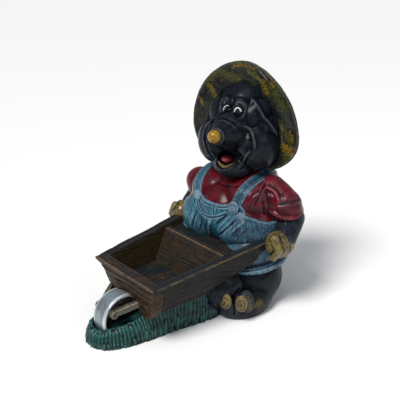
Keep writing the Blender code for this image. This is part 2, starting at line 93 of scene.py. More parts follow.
@dataclass(frozen=True)
class Place:
    """A turned spot on the ground that sizes are measured from.

    side runs to the figure's left, front where the place faces, and up is height.
    """

    x: float
    y: float
    turn: float

    @property
    def side(self) -> Vector:
        """Unit vector to the figure's left."""
        angle = math.radians(self.turn)
        return Vector((math.cos(angle), math.sin(angle), 0.0))

    @property
    def front(self) -> Vector:
        """Unit vector that the place faces along."""
        angle = math.radians(self.turn)
        return Vector((math.sin(angle), -math.cos(angle), 0.0))

    @property
    def spin(self) -> Matrix:
        """Turn of the place about the upright axis."""
        return Matrix.Rotation(math.radians(self.turn), 4, "Z")

    def at(self, side: float, front: float, up: float) -> Vector:
        """Give the point in the row frame.

        Args:
            side: metres to the figure's left.
            front: metres ahead of the place.
            up: height above the ground.

        Returns:
            The point, in metres.
        """
        origin = Vector((self.x, self.y, 0.0)) + SHIFT
        return origin + self.side * side + self.front * front + Vector((0.0, 0.0, up))

    def path(self, points: Sequence[Point]) -> np.ndarray:
        """Turn a row of local points into an array of points in the row frame.

        Args:
            points: (side, front, up) in metres.

        Returns:
            Array of shape (count, 3).
        """
        return np.array([self.at(*point)[:] for point in points])

    def local(self, points: np.ndarray) -> np.ndarray:
        """Measure points of the row frame from this place.

        Args:
            points: array of shape (count, 3).

        Returns:
            Array of (side, front, up).
        """
        away = points - np.array((Vector((self.x, self.y, 0.0)) + SHIFT)[:])
        axes = np.array([self.side[:], self.front[:], (0.0, 0.0, 1.0)])
        return away @ axes.T


HEAD = Place(0.0, 0.035, 18.0)
TORSO = Place(0.0, 0.030, 7.0)
GROUND = Place(0.0, 0.0, 0.0)


def let_go() -> None:
    """Deselect every object and leave edit mode."""
    if bpy.context.object and bpy.context.object.mode != "OBJECT":
        bpy.ops.object.mode_set(mode="OBJECT")
    bpy.ops.object.select_all(action="DESELECT")


def take(thing: bpy.types.Object) -> None:
    """Select one object alone and make it active.

    Args:
        thing: the object.
    """
    let_go()
    thing.select_set(True)
    bpy.context.view_layer.objects.active = thing


def finish_with(thing: bpy.types.Object, kind: str, **settings: object) -> None:
    """Add a modifier, set it up and apply it at once.

    Args:
        thing: the object to change.
        kind: Blender's name of the modifier type.
        settings: values of the modifier's own fields.
    """
    take(thing)
    modifier = thing.modifiers.new(kind.title(), kind)
    for key, value in settings.items():
        setattr(modifier, key, value)
    bpy.ops.object.modifier_apply(modifier=modifier.name)


def reskin(thing: bpy.types.Object, cell: float, passes: int) -> None:
    """Give a piece one even skin and soften it.

    Args:
        thing: the object to change.
        cell: spacing of the new skin's points in metres.
        passes: how many times it is smoothed.
    """
    finish_with(thing, "REMESH", mode="VOXEL", voxel_size=cell)
    finish_with(thing, "SMOOTH", factor=0.5, iterations=passes)


def sided(name: str, side: int) -> str:
    """Name of a piece with its side, 1 for the figure's left and -1 for its right."""
    return f"{name}_{'left' if side > 0 else 'right'}"


def join(name: str, things: list[bpy.types.Object]) -> bpy.types.Object:
    """Join objects into one whose place is in its mesh.

    Args:
        name: name of the joined object.
        things: the objects.

    Returns:
        The joined object, at the origin and unturned.
    """
    let_go()
    for thing in things:
        thing.select_set(True)
    bpy.context.view_layer.objects.active = things[0]
    if len(things) > 1:
        bpy.ops.object.join()
    bpy.ops.object.transform_apply(location=True, rotation=True, scale=True)
    joined = bpy.context.view_layer.objects.active
    joined.name = name
    joined.data.name = name
    return joined


def loft(name: str, rings: list[list[Vector]]) -> bpy.types.Object:
    """Extrude a closed outline from ring to ring, with both ends filled.

    Args:
        name: name of the object.
        rings: rings with the same number of points, in order along the piece.

    Returns:
        The object.
    """
    let_go()
    bpy.ops.mesh.primitive_circle_add(vertices=len(rings[0]), radius=0.01, fill_type="NGON")
    thing = bpy.context.object
    bpy.ops.object.mode_set(mode="EDIT")
    work = bmesh.from_edit_mesh(thing.data)
    for vertex, point in zip(work.verts, rings[0]):
        vertex.co = point
    for before, ring in zip(rings, rings[1:]):
        bpy.ops.mesh.select_mode(type="FACE")
        bpy.ops.mesh.extrude_region_move()
        work = bmesh.from_edit_mesh(thing.data)
        fresh = [vertex for vertex in work.verts if vertex.select]
        old = np.array([point[:] for point in before])
        spots = np.array([vertex.co[:] for vertex in fresh])
        away = ((spots[:, None, :] - old[None, :, :]) ** 2).sum(axis=2)
        for vertex, index in zip(fresh, away.argmin(axis=1)):
            vertex.co = ring[index]
        bmesh.update_edit_mesh(thing.data)
    bpy.ops.mesh.select_all(action="SELECT")
    bpy.ops.mesh.normals_make_consistent(inside=False)
    bpy.ops.object.mode_set(mode="OBJECT")
    thing.name = name
    thing.data.name = name
    return thing


def trim_below(thing: bpy.types.Object, height: float = 0.0) -> None:
    """Cut a piece off flat at a height above the ground.

    Args:
        thing: the closed piece.
        height: height of the cut.
    """
    take(thing)
    bpy.ops.object.mode_set(mode="EDIT")
    bpy.ops.mesh.select_all(action="SELECT")
    bpy.ops.mesh.bisect(plane_co=(0.0, 0.0, height), plane_no=(0.0, 0.0, 1.0),
                        clear_inner=True, use_fill=True)
    bpy.ops.object.mode_set(mode="OBJECT")


def cut(body: bpy.types.Object, tool: bpy.types.Object, operation: str) -> None:
    """Combine two closed solids and remove the tool.

    Args:
        body: the solid that stays.
        tool: the solid that is used up.
        operation: UNION, DIFFERENCE or INTERSECT.
    """
    finish_with(body, "BOOLEAN", operation=operation, object=tool, solver="EXACT")
    bpy.data.objects.remove(tool)


def cloud(points: np.ndarray, size: float, seed: int, octaves: int = 3,
          stretch: Point = (1.0, 1.0, 1.0)) -> np.ndarray:
    """Smooth, repeatable unevenness at each point.

    Args:
        points: array of shape (count, 3), in metres.
        size: width of the largest bumps in metres.
        seed: number that picks the pattern.
        octaves: how many finer layers are added.
        stretch: how much longer the bumps are along each axis.

    Returns:
        Values of about -1 to 1.
    """
    total = np.zeros(len(points))
    weight = 1.0
    whole = 0.0
    for octave in range(octaves):
        grid = points / (np.array(stretch) * size) * 2.0 ** octave + 17.3 * (octave + 1)
        low = np.floor(grid).astype(np.int64)
        part = grid - low
        part = part * part * (3.0 - 2.0 * part)
        value = np.zeros(len(points))
        for corner in range(8):
            step = np.array([corner & 1, (corner >> 1) & 1, (corner >> 2) & 1])
            cell = low + step
            mixed = (cell[:, 0] * 374761393 + cell[:, 1] * 668265263
                     + cell[:, 2] * 1274126177 + (seed + octave) * 974634777)
            mixed = (mixed ^ (mixed >> 13)) * 1274126177
            mixed = (mixed ^ (mixed >> 16)) & 0xFFFF
            share = np.prod(np.where(step == 1, part, 1.0 - part), axis=1)
            value += share * (mixed / 32767.5 - 1.0)
        total += value * weight
        whole += weight
        weight *= 0.5
    return total / whole


def circle(count: int, closed: bool = True) -> list[tuple[float, float]]:
    """Points evenly spaced round a circle of radius 1.

    Args:
        count: how many steps there are in a full turn.
        closed: whether the first point is given again at the end.

    Returns:
        The cosine and sine of each point's angle.
    """
    angles = [math.tau * i / count for i in range(count + 1 if closed else count)]
    return [(math.cos(angle), math.sin(angle)) for angle in angles]


def curved(points: np.ndarray, per_span: int = 6) -> np.ndarray:
    """Draw a smooth line through points.

    Args:
        points: array of shape (count, 3).
        per_span: how many steps there are between two points.

    Returns:
        Array with more points along the same line.
    """
    if len(points) < 3:
        return points
    ends = np.vstack([2 * points[0] - points[1], points, 2 * points[-1] - points[-2]])
    made = []
    for i in range(1, len(ends) - 2):
        p0, p1, p2, p3 = ends[i - 1:i + 3]
        for t in np.linspace(0.0, 1.0, per_span, endpoint=False):
            made.append(0.5 * (2 * p1 + (p2 - p0) * t + (2 * p0 - 5 * p1 + 4 * p2 - p3) * t * t
                               + (3 * p1 - p0 - 3 * p2 + p3) * t ** 3))
    made.append(points[-1])
    return np.array(made)


class Clay:
    """Lumps pressed together and kneaded into one skin."""

    def __init__(self, name: str) -> None:
        """Start with no lumps.

        Args:
            name: name of the piece that the lumps become.
        """
        self.name = name
        self.lumps: list[bpy.types.Object] = []

    def ball(self, place: Place, centre: Point, radii: Point, lean: float = 0.0,
             tip: float = 0.0) -> None:
        """Press on an egg-shaped lump.

        Args:
            place: what the centre is measured from.
            centre: (side, front, up) of its middle.
            radii: half its size each way.
            lean: degrees turned about the front axis.
            tip: degrees turned about the side axis.
        """
        turn = place.spin @ Matrix.Rotation(math.radians(lean), 4, "Y")
        turn = turn @ Matrix.Rotation(math.radians(tip), 4, "X")
        bpy.ops.mesh.primitive_ico_sphere_add(
            subdivisions=4, radius=1.0, location=place.at(*centre),
            rotation=turn.to_euler(), scale=radii,
        )
        self.lumps.append(bpy.context.object)

    def limb(self, place: Place, start: Point, start_radius: float, end: Point,
             end_radius: float) -> None:
        """Press on a rounded, tapered roll.

        Args:
            place: what the ends are measured from.
            start: middle of the first end.
            start_radius: radius there.
            end: middle of the second end.
            end_radius: radius there.
        """
        ends = []
        for centre, radius in ((start, start_radius), (end, end_radius)):
            bpy.ops.mesh.primitive_ico_sphere_add(
                subdivisions=4, radius=radius, location=place.at(*centre),
            )
            ends.append(bpy.context.object)
        roll = join(self.name, ends)
        bpy.ops.object.mode_set(mode="EDIT")
        bpy.ops.mesh.select_all(action="SELECT")
        bpy.ops.mesh.convex_hull()
        bpy.ops.object.mode_set(mode="OBJECT")
        self.lumps.append(roll)

    def add(self, thing: bpy.types.Object) -> None:
        """Press on a lump that was made some other way."""
        self.lumps.append(thing)

    def knead(self, cell: float, passes: int) -> bpy.types.Object:
        """Merge the lumps into one skin and soften the seams between them.

        Args:
            cell: spacing of the new skin's points in metres.
            passes: how many times it is smoothed.

        Returns:
            The piece.
        """
        piece = join(self.name, self.lumps)
        reskin(piece, cell, passes)
        return piece


class Skin:
    """The points of a piece, held as arrays while it is sculpted and masked."""

    def __init__(self, thing: bpy.types.Object) -> None:
        """Read the piece.

        Args:
            thing: the object to sculpt.
        """
        self.thing = thing
        mesh = thing.data
        self.count = len(mesh.vertices)
        spots = np.empty(self.count * 3)
        mesh.vertices.foreach_get("co", spots)
        self.points = spots.reshape(-1, 3)
        ends = np.empty(len(mesh.edges) * 2, dtype=np.int64)
        mesh.edges.foreach_get("vertices", ends)
        self.ends = ends.reshape(-1, 2)
        self.degree = np.maximum(np.bincount(ends, minlength=self.count), 1)
        # Painted shade along pressed grooves and painted highlight along raised lines, which
        # relief() adds to its masks.
        self.painted_shade = np.zeros(self.count)
        self.raised = np.zeros(self.count)
        self.normals = self.read_normals()

    def read_normals(self) -> np.ndarray:
        """Directions that the surface faces at each point.

        Returns:
            Array of shape (count, 3).
        """
        self.thing.data.update()
        facing = np.empty(self.count * 3)
        self.thing.data.vertex_normals.foreach_get("vector", facing)
        return facing.reshape(-1, 3)

    def blur(self, values: np.ndarray, passes: int) -> np.ndarray:
        """Average values with their neighbours.

        Args:
            values: one number or one row for each point.
            passes: how many times.

        Returns:
            The averaged values.
        """
        flat = values.reshape(self.count, -1).astype(float)
        first, second = self.ends[:, 0], self.ends[:, 1]
        for _ in range(passes):
            fresh = np.empty_like(flat)
            for column in range(flat.shape[1]):
                line = flat[:, column]
                near = np.bincount(first, weights=line[second], minlength=self.count)
                near += np.bincount(second, weights=line[first], minlength=self.count)
                fresh[:, column] = 0.5 * line + 0.5 * near / self.degree
            flat = fresh
        return flat.reshape(values.shape)

    def along(self, path: np.ndarray, reach: float, depth_weight: float = 1.0,
              facing: np.ndarray | None = None) -> tuple[np.ndarray, np.ndarray, np.ndarray,
                                                         np.ndarray]:
        """Measure every point near a line.

        Args:
            path: array of points on or near the surface.
            reach: how far from the line points are looked at.
            depth_weight: share of the distance along facing that counts.
            facing: direction in which the line may lie off the surface.

        Returns:
            Indexes of the near points, their distance, their signed distance to the left of
            the line seen from outside, and their share of the way along it.
        """
        line = curved(path)
        low = line.min(axis=0) - reach * 2.5
        high = line.max(axis=0) + reach * 2.5
        near = np.nonzero(((self.points > low) & (self.points < high)).all(axis=1))[0]
        spots = self.points[near]
        best = np.full(len(near), 1.0e9)
        signed = np.zeros(len(near))
        share = np.zeros(len(near))
        total = len(line) - 1
        for i in range(total):
            step = line[i + 1] - line[i]
            length = float(step @ step)
            if length < 1.0e-14:
                continue
            t = np.clip((spots - line[i]) @ step / length, 0.0, 1.0)
            away = spots - (line[i] + t[:, None] * step)
            if facing is not None:
                depth = away @ facing
                away = away - np.outer(depth * (1.0 - depth_weight), facing)
            distance = np.sqrt((away ** 2).sum(axis=1))
            closer = distance < best
            left = np.cross(self.normals[near], step / math.sqrt(length))
            side = np.sign((away * left).sum(axis=1))
            best = np.where(closer, distance, best)
            signed = np.where(closer, distance * side, signed)
            share = np.where(closer, (i + t) / total, share)
        return near, best, signed, share

    def stroke(self, path: np.ndarray, width: float, depth: float, bank: float = 0.0,
               taper: float = 0.15, facing: Vector | None = None) -> None:
        """Press a line into the surface, or raise one.

        Args:
            path: points along the line.
            width: half the width of the line.
            depth: how far the middle moves outwards, negative for a groove.
            bank: how far the surface on the left of the line moves outwards.
            taper: share of the length over which each end fades.
            facing: direction in which the line may lie a little off the surface.
        """
        aim = None if facing is None else np.array(facing[:])
        near, distance, signed, share = self.along(path, width * 2.0, 0.3, aim)
        fade = np.clip(np.minimum(share, 1.0 - share) / max(taper, 1.0e-6), 0.0, 1.0)
        fade = fade * fade * (3.0 - 2.0 * fade)
        if taper == 0.0:
            fade = np.ones(len(near))
        move = depth * np.exp(-(distance / width) ** 2)
        if bank:
            beside = np.exp(-((signed - 1.7 * width) / (1.1 * width)) ** 2)
            move = move + bank * beside * (distance < 4.0 * width)
        move = np.where(distance < 4.5 * width, move * fade, 0.0)
        self.points[near] += self.normals[near] * move[:, None]
        # Painted highlight along a raised line, painted shade along a groove.
        accent = np.exp(-(distance / (0.62 * width)) ** 2) * fade
        layer = self.raised if depth > 0.0 else self.painted_shade
        layer[near] = np.maximum(layer[near], accent)

    def patch(self, path: np.ndarray, width: float, facing: Vector) -> np.ndarray:
        """Measure a brushed patch along a line, seen along a direction.

        Args:
            path: points along the middle of the patch.
            width: half its width.
            facing: direction it is looked at along.

        Returns:
            1 on the line, falling to 0 at its edge, for every point.
        """
        near, distance, _, _ = self.along(path, width * 3.0, 0.0, np.array(facing[:]))
        made = np.zeros(self.count)
        made[near] = np.clip(0.84 - distance / width * 0.52, 0.0, 1.0)
        return made * (self.normals @ np.array(facing[:]) > -0.1)

    def swell(self, centre: Vector, radius: float, height: float) -> None:
        """Raise or dent a round area.

        Args:
            centre: its middle.
            radius: its radius.
            height: how far its middle moves outwards.
        """
        away = np.sqrt(((self.points - np.array(centre[:])) ** 2).sum(axis=1)) / radius
        self.points += self.normals * (height * np.exp(-away ** 2 * 1.6))[:, None]

    def push(self, amount: np.ndarray) -> None:
        """Move every point outwards by its own amount in metres."""
        self.points += self.normals * amount[:, None]

    def roughen(self, size: float, seed: int, height: float) -> None:
        """Give the surface soft, uneven bumps, and write them to the mesh.

        Args:
            size: width of the bumps in metres.
            seed: number that picks the pattern.
            height: how high they are.
        """
        self.push(cloud(self.points, size, seed) * height)
        self.settle()

    def settle(self) -> None:
        """Write the points back to the mesh, within the solid's outer box."""
        low, high = OUTER_BOX
        self.points = np.clip(self.points, np.array(low[:]), np.array(high[:]))
        self.thing.data.vertices.foreach_set("co", self.points.reshape(-1))
        self.thing.data.update()
        self.normals = self.read_normals()

    def mask(self, name: str, values: np.ndarray) -> None:
        """Store a number for each point that the paint reads.

        Args:
            name: name of the attribute.
            values: numbers of 0 to 1.
        """
        layer = self.thing.data.attributes.new(name, "FLOAT", "POINT")
        layer.data.foreach_set("value", np.clip(values, 0.0, 1.0).astype(np.float32))

    def relief(self, fine: int = 5, broad: int = 30, fine_depth: float = 0.00012,
               broad_depth: float = 0.0009, accent: float = 0.75) -> None:
        """Mask the hollows, which get dark wash and painted shade, and the ridges, which get dry
        brush and painted highlights.

        Args:
            fine: passes of blur for narrow lines.
            broad: passes of blur for wide forms.
            fine_depth: depth of a narrow line that is fully dark, in metres.
            broad_depth: depth of a wide form that is fully dark, in metres.
            accent: share of the painted shade and highlight that is put on along drawn lines.
        """
        total = np.zeros(self.count)
        for passes, depth in ((fine, fine_depth), (broad, broad_depth)):
            away = ((self.blur(self.points, passes) - self.points) * self.normals).sum(axis=1)
            total += np.clip(away / depth, -1.0, 1.0)
        # Painted shade in the hollows and painted highlight on the ridges.
        self.mask("hollow", np.maximum(np.clip(total, 0.0, 1.0), accent * self.painted_shade))
        self.mask("ridge", np.maximum(np.clip(-total, 0.0, 1.0), accent * self.raised))


# Sculpting stays inside the solid's own box.
OUTER_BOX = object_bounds()
# Pieces with more faces than this are thinned to a share of their triangles, so that the whole
# model stays under a million.
THIN_ABOVE = 12000
THIN_TO = 0.45


def hand_over(thing: bpy.types.Object, paint: "Paint") -> None:
    """Paint a finished piece and let it ride on the casting.

    Args:
        thing: the piece, in place.
        paint: finish of the piece.
    """
    if len(thing.data.polygons) > THIN_ABOVE:
        finish_with(thing, "DECIMATE", ratio=THIN_TO)
    take(thing)
    bpy.ops.object.shade_smooth()
    thing.data.materials.clear()
    thing.data.materials.append(paint.material())
    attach(thing, BODY)
    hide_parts(NODE)
    LOG.info("%s: %d faces, painted %s", thing.name, len(thing.data.polygons), paint.name)


# --- paint --------------------------------------------------------------------------------


class GroupMaker:
    """Builds one shader node group from named sockets and nodes."""

    def __init__(self, name: str, inputs: dict[str, tuple[str, object]],
                 outputs: dict[str, str]) -> None:
        """Start a group.

        Args:
            name: name of the group.
            inputs: socket name to (kind, default value).
            outputs: socket name to kind.
        """
        self.tree = bpy.data.node_groups.new(name, "ShaderNodeTree")
        for title, (kind, value) in inputs.items():
            socket = self.tree.interface.new_socket(title, in_out="INPUT",
                                                    socket_type=f"NodeSocket{kind}")
            socket.default_value = value
        for title, kind in outputs.items():
            self.tree.interface.new_socket(title, in_out="OUTPUT",
                                           socket_type=f"NodeSocket{kind}")
        self.source = self.tree.nodes.new("NodeGroupInput")
        self.drain = self.tree.nodes.new("NodeGroupOutput")

    def link(self, start: object, end: object) -> None:
        """Join an output to an input."""
        self.tree.links.new(start, end)

    def value(self, title: str) -> object:
        """Output socket of the group's own input with that name."""
        return self.source.outputs[title]

    def give(self, title: str, socket: object) -> None:
        """Send a socket to the group's output with that name."""
        self.link(socket, self.drain.inputs[title])

    def node(self, kind: str, **settings: object) -> bpy.types.Node:
        """Add a node.

        Args:
            kind: node type without its ShaderNode prefix.
            settings: values of the node's own fields.

        Returns:
            The node.
        """
        made = self.tree.nodes.new(f"ShaderNode{kind}")
        for key, entry in settings.items():
            setattr(made, key, entry)
        return made

    def feed(self, socket: object, entry: object) -> None:
        """Link a socket to a socket, or set its plain value.

        Args:
            socket: the input socket.
            entry: an output socket or a plain value.
        """
        if isinstance(entry, bpy.types.NodeSocket):
            self.link(entry, socket)
        else:
            socket.default_value = entry

    def maths(self, operation: str, first: object, second: object = 0.0,
              clamp: bool = False) -> object:
        """Combine two numbers and give the output socket.

        Args:
            operation: Blender's name of the operation.
            first: socket or number.
            second: socket or number.
            clamp: whether the result is kept within 0 to 1.

        Returns:
            The output socket.
        """
        made = self.node("Math", operation=operation, use_clamp=clamp)
        self.feed(made.inputs[0], first)
        self.feed(made.inputs[1], second)
        return made.outputs[0]

    def step(self, entry: object, low: float, high: float) -> object:
        """Ease a number from 0 at low to 1 at high.

        Args:
            entry: socket with the number.
            low: value that gives 0.
            high: value that gives 1.

        Returns:
            The output socket.
        """
        made = self.node("MapRange", interpolation_type="SMOOTHSTEP")
        self.feed(made.inputs["Value"], entry)
        made.inputs["From Min"].default_value = low
        made.inputs["From Max"].default_value = high
        return made.outputs["Result"]

    def blend(self, share: object, first: object, second: object) -> object:
        """Mix two colours and give the output socket.

        Args:
            share: socket or number, 1 for all of the second.
            first: socket or colour.
            second: socket or colour.

        Returns:
            The output socket.
        """
        made = self.node("Mix", data_type="RGBA")
        self.feed(made.inputs[0], share)
        self.feed(made.inputs[6], first)
        self.feed(made.inputs[7], second)
        return made.outputs[2]

    def noise(self, scale: object, detail: float = 4.0, roughness: float = 0.6,
              stretch: object | None = None, offset: float = 0.0) -> object:
        """Noise on the piece's own coordinates, as a number.

        Args:
            scale: bumps in a metre.
            detail: finer layers.
            roughness: weight of the finer layers.
            stretch: scale of each axis, as a value or a socket.
            offset: moves the pattern.

        Returns:
            The output socket, about 0.5 on average.
        """
        where = self.node("TexCoord").outputs["Object"]
        place = self.node("Mapping")
        self.link(where, place.inputs["Vector"])
        place.inputs["Location"].default_value = (offset, offset * 0.7, offset * 1.3)
        if stretch is not None:
            self.feed(place.inputs["Scale"], stretch)
        made = self.node("TexNoise")
        self.link(place.outputs["Vector"], made.inputs["Vector"])
        self.feed(made.inputs["Scale"], scale)
        made.inputs["Detail"].default_value = detail
        made.inputs["Roughness"].default_value = roughness
        return made.outputs["Fac"]


def mottle_group() -> bpy.types.NodeTree:
    """Patches of a second colour brushed unevenly over a first.

    Returns:
        The node group, giving a colour.
    """
    name = "brushed_patches"
    if name in bpy.data.node_groups:
        return bpy.data.node_groups[name]
    make = GroupMaker(name, {
        "Under": ("Color", (0.1, 0.1, 0.1, 1.0)),
        "Over": ("Color", (0.5, 0.5, 0.5, 1.0)),
        "Share": ("Float", 0.5),
        "Scale": ("Float", 60.0),
        "Stretch": ("Vector", (1.0, 1.0, 1.0)),
        "Shift": ("Float", 0.0),
    }, {"Color": "Color"})
    where = make.node("TexCoord").outputs["Object"]
    place = make.node("Mapping")
    make.link(where, place.inputs["Vector"])
    make.link(make.value("Stretch"), place.inputs["Scale"])
    moved = make.node("VectorMath", operation="ADD")
    make.link(place.outputs["Vector"], moved.inputs[0])
    make.link(make.value("Shift"), moved.inputs[1])
    broad = make.node("TexNoise")
    make.link(moved.outputs["Vector"], broad.inputs["Vector"])
    make.link(make.value("Scale"), broad.inputs["Scale"])
    broad.inputs["Detail"].default_value = 6.0
    broad.inputs["Roughness"].default_value = 0.68
    broad.inputs["Distortion"].default_value = 0.35
    level = make.maths("ADD", broad.outputs["Fac"], make.maths(
        "MULTIPLY", make.maths("SUBTRACT", make.value("Share"), 0.5), 0.62))
    mask = make.step(level, 0.44, 0.60)
    make.give("Color", make.blend(mask, make.value("Under"), make.value("Over")))
    return make.tree


def shade_wash_group() -> bpy.types.NodeTree:
    """Painted shade and thin dark wash in the hollows, and dark wash in faint clouds and
    scratches.

    Returns:
        The node group, giving a colour.
    """
    name = "dark_wash"
    if name in bpy.data.node_groups:
        return bpy.data.node_groups[name]
    make = GroupMaker(name, {
        "Color": ("Color", (0.5, 0.5, 0.5, 1.0)),
        "Wash": ("Color", (0.01, 0.01, 0.015, 1.0)),
        "Hollow": ("Float", 0.0),
        "Strength": ("Float", 1.0),
        "Clouds": ("Float", 0.3),
        "Scratches": ("Float", 0.2),
        "Stretch": ("Vector", (1.0, 1.0, 0.25)),
    }, {"Color": "Color"})
    hairs = make.noise(430.0, 4.0, 0.7, stretch=make.value("Stretch"), offset=9.1)
    marks = make.maths("MULTIPLY", make.step(hairs, 0.50, 0.62), make.value("Scratches"))
    fine = make.noise(420.0, 4.0, 0.7)
    broad = make.noise(34.0, 3.0, 0.6, offset=3.1)
    # Painted shade: the hollows are darkened.
    held = make.maths("MULTIPLY", make.value("Hollow"), make.value("Strength"))
    held = make.maths("MULTIPLY", held, make.maths("ADD", fine, 0.62))
    clouds = make.maths("MULTIPLY", make.step(broad, 0.46, 0.68), make.value("Clouds"))
    mask = make.maths("MAXIMUM", make.maths("MAXIMUM", held, clouds), marks, clamp=True)
    make.give("Color", make.blend(mask, make.value("Color"), make.value("Wash")))
    return make.tree


def highlight_brush_group() -> bpy.types.NodeTree:
    """Painted highlight on the ridges, and pale streaks of a nearly dry brush.

    Returns:
        The node group, giving a colour.
    """
    name = "dry_brush"
    if name in bpy.data.node_groups:
        return bpy.data.node_groups[name]
    make = GroupMaker(name, {
        "Color": ("Color", (0.5, 0.5, 0.5, 1.0)),
        "Brush": ("Color", (0.8, 0.8, 0.8, 1.0)),
        "Ridge": ("Float", 0.0),
        "Strength": ("Float", 1.0),
        "Streaks": ("Float", 0.2),
        "Stretch": ("Vector", (1.0, 1.0, 0.25)),
    }, {"Color": "Color"})
    hairs = make.noise(700.0, 3.0, 0.7, stretch=make.value("Stretch"), offset=1.7)
    broad = make.noise(55.0, 3.0, 0.6, offset=6.3)
    # Painted highlight: the ridges are lightened.
    caught = make.maths("MULTIPLY", make.value("Ridge"), make.value("Strength"))
    caught = make.maths("MULTIPLY", caught, make.step(hairs, 0.30, 0.62))
    loose = make.maths("MULTIPLY", make.step(hairs, 0.52, 0.66), make.step(broad, 0.42, 0.64))
    loose = make.maths("MULTIPLY", loose, make.value("Streaks"))
    mask = make.maths("MAXIMUM", caught, loose, clamp=True)
    make.give("Color", make.blend(mask, make.value("Color"), make.value("Brush")))
    return make.tree


def ragged_group() -> bpy.types.NodeTree:
    """Edge of a brushed patch, broken up by the hairs of the brush.

    Returns:
        The node group, giving a mask.
    """
    name = "ragged_patch"
    if name in bpy.data.node_groups:
        return bpy.data.node_groups[name]
    make = GroupMaker(name, {
        "Patch": ("Float", 0.0),
        "Share": ("Float", 1.0),
        "Ragged": ("Float", 0.5),
        "Stretch": ("Vector", (1.0, 1.0, 1.0)),
    }, {"Mask": "Float"})
    hairs = make.noise(330.0, 5.0, 0.72, stretch=make.value("Stretch"), offset=7.7)
    broken = make.maths("MULTIPLY", make.maths("SUBTRACT", hairs, 0.5),
                        make.maths("MULTIPLY", make.value("Ragged"), 2.4))
    mask = make.step(make.maths("ADD", make.value("Patch"), broken), 0.30, 0.72)
    held = make.step(make.value("Patch"), 0.01, 0.12)
    mask = make.maths("MULTIPLY", make.maths("MULTIPLY", mask, held), make.value("Share"),
                      clamp=True)
    make.give("Mask", mask)
    return make.tree


def lacquer_group() -> bpy.types.NodeTree:
    """Uneven gloss and the faint orange-peel of brushed lacquer.

    Returns:
        The node group, giving a roughness and a height.
    """
    name = "uneven_lacquer"
    if name in bpy.data.node_groups:
        return bpy.data.node_groups[name]
    make = GroupMaker(name, {
        "Roughness": ("Float", 0.3),
        "Spread": ("Float", 0.15),
        "Brush Hairs": ("Float", 0.5),
        "Stretch": ("Vector", (1.0, 1.0, 0.25)),
    }, {"Roughness": "Float", "Height": "Float"})
    patch = make.noise(48.0, 4.0, 0.6, offset=2.2)
    grain = make.noise(1500.0, 2.0, 0.6, offset=4.4)
    peel = make.noise(240.0, 2.0, 0.5, offset=8.8)
    hairs = make.noise(900.0, 2.0, 0.6, stretch=make.value("Stretch"), offset=5.5)
    swing = make.maths("MULTIPLY", make.maths("SUBTRACT", patch, 0.5),
                       make.maths("MULTIPLY", make.value("Spread"), 3.0))
    made = make.maths("ADD", make.value("Roughness"), swing)
    made = make.maths("ADD", made, make.maths("MULTIPLY", make.maths("SUBTRACT", grain, 0.5),
                                              0.12), clamp=True)
    height = make.maths("ADD", make.maths("MULTIPLY", peel, 0.7),
                        make.maths("MULTIPLY", grain, 0.15))
    height = make.maths("ADD", height, make.maths("MULTIPLY", hairs, make.value("Brush Hairs")))
    make.give("Roughness", made)
    make.give("Height", height)
    return make.tree


